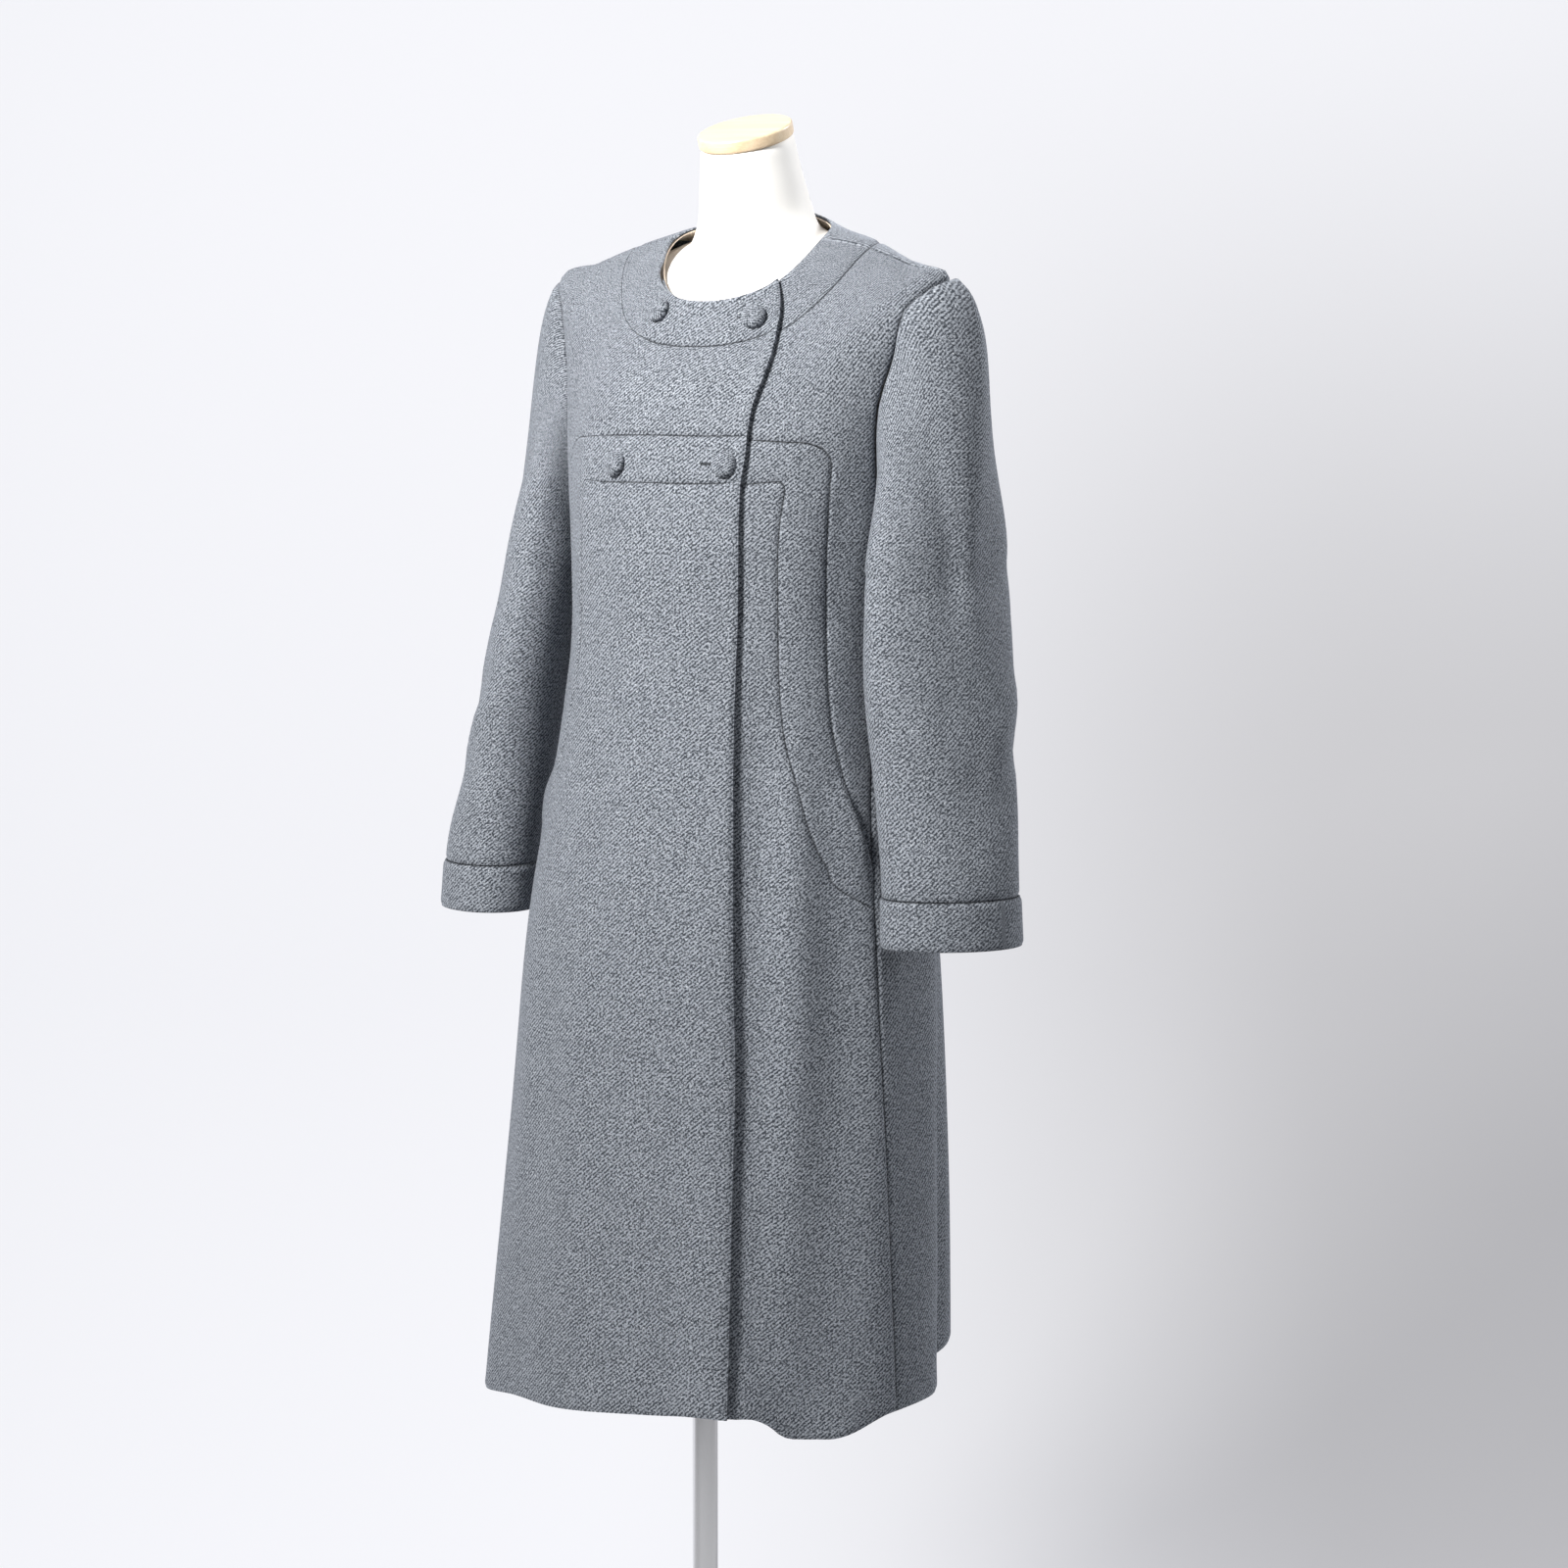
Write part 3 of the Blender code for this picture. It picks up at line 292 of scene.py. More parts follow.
BUTTON_RADIUS = 0.0110
BUTTON_HEIGHT = 0.0080
BUTTON_SEAT = 0.0002  # from the cloth to a button's back
BUTTON_GRAIN = (50.0, -40.0, 20.0, -8.0)  # turn of the cloth on each button, in degrees
BUTTON_MESH = (96, 26)  # points round a button, and rows
PLEAT_HEIGHT, PLEAT_REACH = 0.00022, 0.16  # of a button's pleats, the reach as a share of its radius
BUTTONS = (
    # name, x, height
    ("button_upper_right", -0.0437, 1.3060),
    ("button_upper_left", 0.0520, 1.3010),
    ("button_lower_right", -0.0480, 1.1790),
    ("button_lower_left", 0.0592, 1.1805),
)
BUTTON_PROFILE = (
    # radius, height, as shares, from the top's middle out, round the rim and in to the back
    (0.03, 1.000),
    (0.20, 0.990),
    (0.40, 0.955),
    (0.60, 0.890),
    (0.76, 0.800),
    (0.88, 0.680),
    (0.96, 0.530),
    (1.00, 0.360),
    (0.99, 0.220),
    (0.96, 0.110),
    (0.92, 0.040),
    (0.86, 0.000),
    (0.30, 0.000),
)
BUTTONHOLES = (
    # name, x of its end, height, length of the row
    ("buttonhole_upper", 0.0412, 1.3010, 0.004),
    ("buttonhole_lower", 0.0474, 1.1810, 0.009),
)
STITCH_PITCH = 0.0007
STITCH_RADIUS = 0.00032
STITCH_LENGTH = 0.0022
STITCH_LEAN = 0.22  # radians
STITCH_RISE = 0.4  # how far a stitch's middle stands off the cloth, as a share of its radius

FULLNESS = {1: (0.007, 10.0), -1: (-0.006, 20.0)}  # a sleeve's, and the turn where it is, by its side
FULL_TURN = 55.0  # degrees of turn over which it fades
HEAD_RISE = 0.008  # how far the sleeve's head swells over the shoulder seam
HEAD_TURN, HEAD_RUN = 42.0, 0.30  # turn and run over which that fades
SLEEVE_DEGREE = 0.00105  # metres round a sleeve for one degree of turn, near enough
SLEEVE_STEP = 6.0  # degrees between a sleeve's columns
SLEEVE_ROWS, CUFF_ROWS = 58, 9
PIECE_GAPS = (0.2, 0.03)  # degrees left free at a sleeve's rear seam, which shows, and at its front one
HIDDEN_SEAM = 0.0046  # the front seam is pressed so flat that it hardly shows: its roll and painted shade are reckoned as if this much further off

VIEW_AZIMUTH = 34.0  # degrees towards the wearer's left
VIEW_PITCH = 6.0  # degrees downward
VIEW_DISTANCE = 4.2
VIEW_HEIGHT = 1.347
VIEW_SHIFT = 0.0683
VIEW_FOCAL = 3.15  # focal length over the picture's width
SENSOR = 36.0  # the camera's width, in millimetres
FLOOR_GAP = 0.0004  # from the floor to the base
BACKDROP_FRONT = -3.2  # places into the picture: where the floor begins
BACKDROP_BACK = 1.30  # and where the wall stands
BACKDROP_TOP = 5.0
BACKDROP_HALF = 4.5  # half its width
BACKDROP_BEND = 0.55  # radius of the bend
BACKDROP_STEPS = 24  # and its steps
BACKDROP_PAINTED_SHADOW_ACROSS = (-0.15, 0.75)  # painted shadow of the coat on the glow, from none to whole, towards the picture's right
BACKDROP_PAINTED_SHADOW_HEIGHT = (0.75, 1.75)  # and from the whole painted shadow low down to none higher up
BACKDROP_PAINTED_GLOW_AHEAD = (0.05, 0.7)  # from the floor in front, without the painted glow, to the glowing one behind

LEAST_SHARE = 0.31  # the least of its flat size that a cut may fill

# The lights: their place across the picture, into it and up, and their size.
KEY_PLACE, KEY_SIZE = (-1.4, -1.45, 2.5), 0.6
FILL_PLACE, FILL_SIZE = (1.0, -3.1, 1.5), 2.0
RIM_PLACE, RIM_SIZE = (1.9, 0.7, 2.3), 0.8
KEY_COLOUR, FILL_COLOUR, AIR_COLOUR = (1.0, 0.99, 0.97), (0.95, 0.97, 1.0), (0.93, 0.96, 1.0, 1.0)
LIGHT_SPREAD = 1.95  # radians
LIGHT_AIM = 1.4  # height they are turned to


# ---------------------------------------------------------------- curves through tables
def cubic(t):
    """A cubic's weights, a share t of the way along: its start, its run there, its end, its run there."""
    return 2 * t**3 - 3 * t**2 + 1, t**3 - 2 * t**2 + t, 3 * t**2 - 2 * t**3, t**3 - t**2


def smooth(table, key, column):
    """A cubic through a table's column, keyed by its first column, at the given values of the key."""
    rows = sorted(table)
    x = np.array([r[0] for r in rows])
    y = np.array([r[column] for r in rows])
    slope = np.gradient(y, x)
    key = np.clip(np.asarray(key, float), x[0], x[-1])
    i = np.clip(np.searchsorted(x, key) - 1, 0, len(x) - 2)
    step = x[i + 1] - x[i]
    a, b, c, d = cubic((key - x[i]) / step)
    return a * y[i] + b * step * slope[i] + c * y[i + 1] + d * step * slope[i + 1]


def unit(vectors):
    return vectors / np.linalg.norm(vectors, axis=-1, keepdims=True)


def running(points, axis=0):
    """Metres run along an axis of rows of points, from 0 at the first."""
    spans = np.linalg.norm(np.diff(points, axis=axis), axis=-1)
    return np.insert(np.cumsum(spans, axis=axis), 0, 0.0, axis=axis)


def signed(angle):
    """An angle brought between -180 and 180 degrees."""
    return (angle + 180.0) % 360.0 - 180.0


def ease(t):
    """From 0 to 1 with level ends."""
    t = np.clip(t, 0.0, 1.0)
    return t * t * (3 - 2 * t)


# ---------------------------------------------------------------- the lofted surfaces
def loft(rings, angle, level, folds=()):
    """Points of a surface through rings, at angles in degrees and levels in metres."""
    angle, level = np.broadcast_arrays(np.asarray(angle, float), np.asarray(level, float))
    back, rise, peak, wide, middle, fore, aft = (smooth(rings, level, c) for c in range(1, 8))
    turn = np.radians(angle)
    sine, cosine = np.sin(turn), np.cos(turn)
    depth = np.where(cosine > 0, fore, aft)
    out = np.zeros_like(level)
    for at, width, fold, start in folds:
        away = signed(angle - at)
        foot = (start - level) / (start - FOLD_FOOT)
        out = out + fold * np.exp(-((away / width) ** 2)) * ease(foot) * np.clip(foot, 0.0, FOLD_LIMIT)
    if len(rings[0]) > 8:
        wide = wide + smooth(rings, level, 8) * np.abs(sine) ** (REACH_TURN - 1)
    x = (wide + out) * sine
    y = middle - (depth + out) * cosine
    z = level * (1 + cosine) / 2 + back * (1 - cosine) / 2 + rise * np.abs(sine) ** peak
    return np.stack([x, y, z], axis=-1)


def coat(angle, level):
    return loft(COAT_RINGS, angle, level, SKIRT_FOLDS)


def normals(surface, angle, level):
    """Outward unit normals of a surface of (angle, level), by central differences."""
    round_step, down_step = 0.4, 0.0008
    along = surface(angle + round_step, level) - surface(angle - round_step, level)
    up = surface(angle, level + down_step) - surface(angle, level - down_step)
    return unit(np.cross(along, up))


def place(x, z, side=1, behind=False):
    """(angle, level) of the coat's point at distance x from the centre, at height z."""
    level = z
    sine = 0.5
    for _ in range(60):
        wide = smooth(COAT_RINGS, level, 4) + smooth(COAT_RINGS, level, 8) * sine ** (REACH_TURN - 1)
        sine = min(0.9999, 0.5 * sine + 0.5 * x / wide)
        angle = math.degrees(math.asin(sine))
        if behind:
            angle = 180.0 - angle
        error = coat(angle, level)[2] - z
        level = min(NECKLINE, level - 0.5 * error)
    return side * angle, float(level)


def at_angle(angle, z):
    """(angle, level) of the coat's point at an angle and a height."""
    level = z
    for _ in range(40):
        level = min(NECKLINE, level - 0.5 * (coat(angle, level)[2] - z))
    return float(angle), float(level)


# ---------------------------------------------------------------- cut edges, as lists of (angle, level)
def steps(first, last, step=EDGE_STEP):
    return np.linspace(first, last, max(2, int(abs(last - first) / step) + 1))


def hem_height(angle):
    return smooth(HEM, signed(angle), 1)


def hem(first, last):
    """The hem from one angle to another."""
    return [at_angle(a, float(hem_height(a))) for a in steps(first, last, HEM_STEP)]


def edge_angle(level):
    """How far past the centre a front's free edge lies, in degrees."""
    return np.degrees(np.arcsin(smooth(FRONT_EDGE, level, 1) / smooth(COAT_RINGS, level, 4)))


def front_edge(side, high, low):
    """The front's free edge from one level down to another."""
    return [(-side * float(edge_angle(level)), level) for level in steps(high, low, SEAM_STEP)]


def side_seam(side, low, high):
    return [at_angle(side * float(smooth(SIDE_SEAM, z, 1)), z) for z in steps(low, high, SEAM_STEP)]


def armhole(side, behind=False):
    """From the underarm up to the shoulder's tip."""
    table = ARMHOLE_BACK if behind else ARMHOLE_FRONT
    low = at_angle(side * float(smooth(SIDE_SEAM, UNDERARM, 1)), UNDERARM)
    rows = [place(float(smooth(table, z, 1)), z, side, behind) for z in steps(1.127, SHOULDER_TIP - 0.006)]
    return [low, *rows, shoulder_tip(side)]


def shoulder_tip(side):
    return side * 90.0, SHOULDER_LEVEL


def shoulder_seam(side):
    """From the tip in to the neck band's seam."""
    return [(side * 90.0, level) for level in steps(SHOULDER_LEVEL, NECK_SEAM)]


def ring_edge(level, first, last):
    return [(a, level) for a in steps(first, last, RING_STEP)]


def front_place(x, z):
    """The place in front at x from the centre and at height z."""
    return place(abs(x), z, 1 if x >= 0 else -1)


def bent(start, corner, end, t):
    """A curve from start towards a corner and round to end, a share t of the way along."""
    return (1 - t) ** 2 * start + 2 * t * (1 - t) * corner + t * t * end


def band_outer(shift):
    """The band's outer seam: from the front edge across the chest, round the corner and down to the side.
    Like all of a front's edges it is given for the wearer's left front; shift moves it to the centre."""
    corner_low = BAND_TOP - BAND_DIP - CORNER
    far = float(smooth(BAND_OUTER, corner_low, 1)) - shift
    seam = []
    for x in np.linspace(-float(smooth(FRONT_EDGE, BAND_TOP, 1)), far - CORNER, 14):
        seam.append(front_place(x, BAND_TOP - BAND_DIP * (max(0.0, x) / far) ** 2))
    seam[0] = (-float(edge_angle(seam[0][1])), seam[0][1])
    for turn in (22.5, 45.0, 67.5):
        across, down = math.sin(math.radians(turn)), 1 - math.cos(math.radians(turn))
        seam.append(front_place(far - CORNER + CORNER * across, BAND_TOP - BAND_DIP - CORNER * down))
    low = BAND_OUTER[-1][0]
    for z in steps(corner_low, low):
        kept = ease((z - low) / 0.2)
        seam.append(front_place(float(smooth(BAND_OUTER, z, 1)) - shift * kept, z))
    start = seam[-1][0]
    foot, end = start + 1.2, float(smooth(SIDE_SEAM, POCKET_END, 1))
    for t in QUARTERS:
        seam.append((bent(start, foot, end, t), low + (POCKET_END - low) * (1 - (1 - t) ** 2)))
    return seam


def lengths(angle, level):
    """Metres on the cloth for one degree round and for one metre of level, at a place."""
    around = np.linalg.norm(coat(angle + 0.5, level) - coat(angle - 0.5, level), axis=-1)
    down = np.linalg.norm(coat(angle, level + 0.001) - coat(angle, level - 0.001), axis=-1) / 0.002
    return np.stack([around, down], axis=-1)


def band_inner(outer):
    """The band's inner seam, one band's width inside the outer one."""
    seam = np.array(outer)
    scale = lengths(seam[:, 0], seam[:, 1])
    run = unit(np.gradient(seam, axis=0) * scale)
    inner = seam + BAND_WIDTH * np.stack([run[:, 1], -run[:, 0]], axis=1) / scale
    clear = []
    for p in inner:
        gap = np.linalg.norm((seam - p) * (scale + lengths(*p)) / 2, axis=1).min()
        clear.append(gap > 0.97 * BAND_WIDTH)
    low = POCKET_END - BAND_WIDTH
    last = float(smooth(SIDE_SEAM, low, 1))
    kept = [tuple(p) for p in inner[clear] if p[0] < last - 1.0]
    kept[0] = (-float(edge_angle(kept[0][1])), kept[0][1])
    return [*turned(kept), (last, low)]


def turned(seam):
    """A seam with its one sharp corner, which its points may cut off, rounded."""
    points = np.array(seam) * FLAT_SCALE
    run = unit(np.diff(points, axis=0))
    straight = (run[:-2] * run[2:]).sum(axis=1)
    straight[points[1:-2, 1] < BAND_TOP - 3 * BAND_WIDTH] = 1.0
    i = 1 + int(straight.argmin())
    before, after = run[i - 1], run[i + 1]
    gap = points[i + 1] - points[i]
    reach = (gap[0] * after[1] - gap[1] * after[0]) / (before[0] * after[1] - before[1] * after[0])
    corner = points[i] + before * reach
    start, end = corner - before * INNER_CORNER, corner + after * INNER_CORNER
    bend = [bent(start, corner, end, t) for t in (0.0, *QUARTERS)]
    clear = 1.3 * INNER_CORNER
    first = [p for p in points[: i + 1] if (corner - p) @ before > clear]
    rest = []
    for p in points[i + 1 :]:
        if (p - corner) @ after > clear and (not rest or p[1] < rest[-1][1] - 0.001):
            rest.append(p)
    return [tuple(p / FLAT_SCALE) for p in (*first, *bend, *rest)]


# ---------------------------------------------------------------- how far each layer stands off the coat
def flat(angle, level):
    return np.zeros_like(level)


def upper_front(angle, level):
    """The wearer's right front lies on the left one in the lap, and its free edge stands off lower down."""
    edge = edge_angle(level)
    before, over = LAP_RISE
    high, drop = EDGE_STAND_DROP
    on_top = (CLOTH + LAYER_GAP) * ease((angle + edge + before) / over)
    near = ease((angle - edge + EDGE_STAND_TURN) / EDGE_STAND_TURN)
    return on_top + EDGE_STAND * near * ease((high - level) / drop)


def lip(seam, angle, level):
    """The band's edge, next to its outer seam, stands open at the pocket mouth."""
    falling = np.array([(p[1], p[0]) for p in seam if p[1] < BAND_TOP - 0.05])[::-1]
    outer = np.interp(level, falling[:, 0], falling[:, 1])
    near = np.exp(-(((outer - angle) / LIP_TURN) ** 2))
    mouth = ease((POCKET_TOP - level) / LIP_OPENS) * ease((level - POCKET_END + LIP_CLOSES) / LIP_CLOSES)
    closed = ease((falling[0, 1] - angle) / 5.0)
    return LIP_STAND * near * mouth * closed


def with_lip(side, base, seam):
    return lambda angle, level: base(angle, level) + lip(seam, side * angle, level)


def bag_depth(angle, level):
    return np.full_like(level, -CLOTH - BAG_GAP)


# ---------------------------------------------------------------- shading, written as sums
class Value:
    """A number, colour or vector socket that can be reckoned with."""

    def __init__(self, tree, socket):
        self.tree, self.socket = tree, socket

    def math(self, kind, *others, clamp=False):
        node = self.tree.nodes.new("ShaderNodeMath")
        node.operation, node.use_clamp = kind, clamp
        for plug, value in zip(node.inputs, (self, *others)):
            connect(self.tree, plug, value)
        return Value(self.tree, node.outputs[0])

    def __add__(self, other):
        return self.math("ADD", other)

    def __sub__(self, other):
        return self.math("SUBTRACT", other)

    def __mul__(self, other):
        return self.math("MULTIPLY", other)

    def __truediv__(self, other):
        return self.math("DIVIDE", other)

    def __rsub__(self, other):
        return constant(self.tree, other).math("SUBTRACT", self)

    __radd__ = __add__
    __rmul__ = __mul__

    def sine(self):
        return self.math("SINE")

    def floor(self):
        return self.math("FLOOR")

    def ramp(self, low, high):
        """0 below low and 1 above high, smoothly."""
        node = self.tree.nodes.new("ShaderNodeMapRange")
        node.interpolation_type = "SMOOTHSTEP"
        for plug, value in zip(node.inputs, (self, low, high, 0.0, 1.0)):
            connect(self.tree, plug, value)
        return Value(self.tree, node.outputs[0])


def connect(tree, plug, value):
    if isinstance(value, Value):
        tree.links.new(value.socket, plug)
    else:
        plug.default_value = value


def constant(tree, number):
    node = tree.nodes.new("ShaderNodeValue")
    node.outputs[0].default_value = number
    return Value(tree, node.outputs[0])


class Look:
    """A material being made: its node tree with the few nodes that the looks here need."""

    def __init__(self, name, **fixed):
        self.material = bpy.data.materials.new(name)
        self.material.use_nodes = True
        self.tree = self.material.node_tree
        self.shader = self.tree.nodes["Principled BSDF"]
        for key, value in fixed.items():
            self.shader.inputs[key.replace("_", " ").title()].default_value = value

    def node(self, kind, output=0, settings=(), **inputs):
        made = self.tree.nodes.new(kind)
        for key, value in dict(settings).items():
            setattr(made, key, value)
        for key, value in inputs.items():
            connect(self.tree, made.inputs[key.replace("_", " ").title()], value)
        return Value(self.tree, made.outputs[output])

    def uv(self):
        """The flat cloth's two coordinates, in metres."""
        made = self.node("ShaderNodeUVMap", settings={"uv_map": "cloth"})
        return self.split(made)

    def place(self):
        made = self.tree.nodes.new("ShaderNodeTexCoord")
        return Value(self.tree, made.outputs["Object"])

    def split(self, vector):
        made = self.tree.nodes.new("ShaderNodeSeparateXYZ")
        connect(self.tree, made.inputs[0], vector)
        return [Value(self.tree, socket) for socket in made.outputs]

    def joined(self, x, y, z=0.0):
        made = self.tree.nodes.new("ShaderNodeCombineXYZ")
        for plug, value in zip(made.inputs, (x, y, z)):
            connect(self.tree, plug, value)
        return Value(self.tree, made.outputs[0])

    def noise(self, vector, scale, detail=2.0, roughness=0.5):
        fixed = {"Scale": scale, "Detail": detail, "Roughness": roughness}
        return self.node("ShaderNodeTexNoise", Vector=vector, **fixed)

    def white_noise(self, kind, **inputs):
        return self.node("ShaderNodeTexWhiteNoise", 0, {"noise_dimensions": kind}, **inputs)

    def mix(self, factor, first, second):
        made = self.tree.nodes.new("ShaderNodeMix")
        made.data_type = "RGBA"
        for plug, value in zip((made.inputs[0], made.inputs[6], made.inputs[7]), (factor, first, second)):
            connect(self.tree, plug, value)
        return Value(self.tree, made.outputs[2])

    def scaled(self, colour, factor):
        made = self.tree.nodes.new("ShaderNodeVectorMath")
        made.operation = "SCALE"
        connect(self.tree, made.inputs[0], colour)
        connect(self.tree, made.inputs["Scale"], factor)
        return Value(self.tree, made.outputs[0])

    def clear_from_behind(self):
        """Lets a camera behind the surface look through it."""
        clear = self.tree.nodes.new("ShaderNodeBsdfTransparent")
        blend = self.tree.nodes.new("ShaderNodeMixShader")
        connect(self.tree, blend.inputs[0], self.node("ShaderNodeNewGeometry", "Backfacing"))
        self.tree.links.new(self.shader.outputs[0], blend.inputs[1])
        self.tree.links.new(clear.outputs[0], blend.inputs[2])
        self.tree.links.new(blend.outputs[0], self.tree.nodes["Material Output"].inputs["Surface"])

    def finish(self, colour=None, roughness=None, height=None, distance=0.001, strength=1.0):
        if colour is not None:
            connect(self.tree, self.shader.inputs["Base Color"], colour)
        if roughness is not None:
            connect(self.tree, self.shader.inputs["Roughness"], roughness)
        if height is not None:
            bump = self.node("ShaderNodeBump", Height=height, Distance=distance, Strength=strength)
            connect(self.tree, self.shader.inputs["Normal"], bump)
        return self.material


TWILL_ANGLE = math.radians(41)  # the ribs rise to the right
TWILL_PITCH = 0.00275  # from rib to rib
FLOAT_LENGTH = 0.0030  # of one stitch of a rib
SEAM_SHADE = 0.0013  # how far the painted shade along a seam reaches
FLECK_SCALE, WHITE_SCALE, BLOTCH_SCALE = 510.0, 640.0, 34.0  # patches of tone per metre
LINING_TONES = (0.56, 0.45, 0.35, 1.0), (0.68, 0.57, 0.46, 1.0)
LINING_WEAVE = 0.0009  # from thread to thread
# Painted shade: the pocket's wool made very dark for the shade deep in its mouth.
POCKET_SHADE_TONES = (0.022, 0.025, 0.030, 1.0), (0.085, 0.092, 0.105, 1.0)
COVER_TONES = (0.83, 0.81, 0.78, 1.0), (0.88, 0.865, 0.84, 1.0)
WOOD_TONES = (0.66, 0.47, 0.28, 1.0), (0.86, 0.71, 0.51, 1.0)
WOOD_PORES = (0.42, 0.28, 0.16, 1.0)
# Base colours of the backdrop paper: plain on the floor in front, and darker under the painted glow behind.
FRONT_PAPER = (0.50, 0.50, 0.51, 1.0)
PAPER_UNDER_GLOW = (0.21, 0.21, 0.215, 1.0)


def make_wool(name, look, pitch=TWILL_PITCH, sewn=True):
    """Thick melange twill: slanting ribs of short floats, flecked yarns and a slight nap. The ribs' stripes
    are partly the yarns' own pattern and partly painted shade, and on sewn pieces the colour darkens along
    seams as painted shade.
    """
    dark, pale = (*look.dark, 1.0), (*look.pale, 1.0)
    made = Look(name, roughness=0.92)
    shader = made.shader
    shader.inputs["Sheen Weight"].default_value = look.sheen
    shader.inputs["Sheen Roughness"].default_value = 0.45
    shader.inputs["Sheen Tint"].default_value = (0.82, 0.88, 1.0, 1.0)
    shader.inputs["Specular IOR Level"].default_value = 0.25
    u, v = made.uv()[:2]
    flat_uv = made.joined(u, v)
    sway = (made.noise(flat_uv, 40.0, 2.0) - 0.5) * 0.5
    across = (v * math.cos(TWILL_ANGLE) - u * math.sin(TWILL_ANGLE)) / pitch + sway
    along = (u * math.cos(TWILL_ANGLE) + v * math.sin(TWILL_ANGLE)) / FLOAT_LENGTH
    rib = (across * math.tau).sine() * 0.5 + 0.5
    row = across.floor()
    jitter = made.white_noise("1D", W=row)
    stitch = along + jitter * 7.0
    dash = (stitch * math.tau).sine() * 0.5 + 0.5
    grain = made.white_noise("2D", Vector=made.joined(stitch.floor(), row))
    fibres = made.noise(made.joined(along * 1.1, across * 1.6), 1.0, 3.0, 0.65)
    fleck = made.noise(flat_uv, FLECK_SCALE, 2.0, 0.7)
    blotch = made.noise(flat_uv, BLOTCH_SCALE, 3.0, 0.55)
    tone = (
        0.46
        + (grain - 0.5) * 0.26
        + (fibres - 0.5) * 1.70
        + (fleck - 0.5) * 4.20
        + (blotch - 0.5) * 0.20
        # Ribs and floats are darker where the relief is low: partly the twill's own yarn stripes, partly
        # painted shade.
        + (rib - 0.5) * 0.75
        + (dash - 0.5) * rib * 0.16
    )
    colour = made.mix(tone.ramp(0.0, 1.0), dark, pale)
    white = made.noise(flat_uv, WHITE_SCALE, 1.0, 0.5).ramp(0.62, 0.76) * 0.7
    colour = made.mix(white, colour, (*look.white, 1.0))
    # Painted shade along seams: the colour darkens to half right at a sewn seam.
    if sewn:
        seam = made.node("ShaderNodeAttribute", 2, {"attribute_name": "seam"})
        colour = made.scaled(colour, seam.ramp(0.0, SEAM_SHADE) * 0.5 + 0.5)
    height = rib * (dash * 0.35 + 0.65) + (fleck - 0.5) * 0.7 + (grain - 0.5) * 0.25
    return made.finish(colour, height=height, distance=look.relief, strength=0.8)


def make_lining():
    """Smooth warm beige facing with a fine, even weave."""
    made = Look("lining", roughness=0.62)
    made.shader.inputs["Sheen Weight"].default_value = 0.12
    u, v = made.uv()[:2]
    weave = (u * (math.tau / LINING_WEAVE)).sine() * (v * (math.tau / LINING_WEAVE)).sine()
    cloud = made.noise(made.joined(u, v), 60.0, 3.0)
    colour = made.mix(cloud, *LINING_TONES)
    return made.finish(colour, height=weave + cloud, distance=0.0001, strength=0.5)


def make_pocket_cloth():
    """The wool of the pocket's inner layer, painted very dark as the shade deep in the pocket's mouth."""
    made = Look("pocket_cloth", roughness=0.95)
    u, v = made.uv()[:2]
    rib = ((v * math.cos(TWILL_ANGLE) - u * math.sin(TWILL_ANGLE)) * (math.tau / TWILL_PITCH)).sine()
    fleck = made.noise(made.joined(u, v), 700.0, 2.0, 0.6)
    tone = (rib * 0.18 + fleck).ramp(0.2, 0.9)
    colour = made.mix(tone, *POCKET_SHADE_TONES)
    return made.finish(colour, height=rib + fleck, distance=0.0002, strength=0.6)


def make_cover():
    """Matt, faintly creamy white, with the slight unevenness of a sprayed shell."""
    made = Look("form_cover", roughness=0.55)
    where = made.place()
    cloud = made.noise(where, 9.0, 3.0)
    orange_peel = made.noise(where, 420.0, 2.0)
    colour = made.mix(cloud, *COVER_TONES)
    rough = made.noise(where, 60.0, 2.0) * 0.12 + 0.50
    return made.finish(colour, rough, orange_peel, 0.00012, 0.5)


def make_wood():
    """Light maple, its grain running across the cap, under satin lacquer."""
    made = Look("cap_wood", roughness=0.38)
    made.shader.inputs["Coat Weight"].default_value = 0.25
    made.shader.inputs["Coat Roughness"].default_value = 0.25
    x, y, z = made.split(made.place())
    stretched = made.joined(x * 3.0, y * 60.0, z * 60.0)
    streak = made.noise(stretched, 1.6, 4.0, 0.6)
    fine = made.noise(made.joined(x * 12.0, y * 700.0, z * 700.0), 1.0, 2.0)
    tone = streak * 0.75 + fine * 0.35 - 0.05
    colour = made.mix(tone.ramp(0.15, 0.85), *WOOD_TONES)
    pores = made.noise(made.joined(x * 40.0, y * 900.0, z * 900.0), 1.0, 1.0).ramp(0.66, 0.74) * 0.25
    colour = made.mix(pores, colour, WOOD_PORES)
    return made.finish(colour, streak * 0.12 + 0.32, fine, 0.00006, 0.4)


def make_chrome(name, shade):
    """Polished chrome with a few faint wipe marks."""
    made = Look(name, metallic=1.0)
    x, y, z = made.split(made.place())
    wiped = made.noise(made.joined(x * 30.0, y * 30.0, z * 6.0), 1.0, 4.0, 0.6)
    dull = (shade * 0.92, shade * 0.92, shade * 0.94, 1.0)
    bright = (shade, shade, shade * 1.01, 1.0)
    colour = made.mix(wiped, dull, bright)
    return made.finish(colour, wiped.ramp(0.3, 0.8) * 0.10 + 0.06)


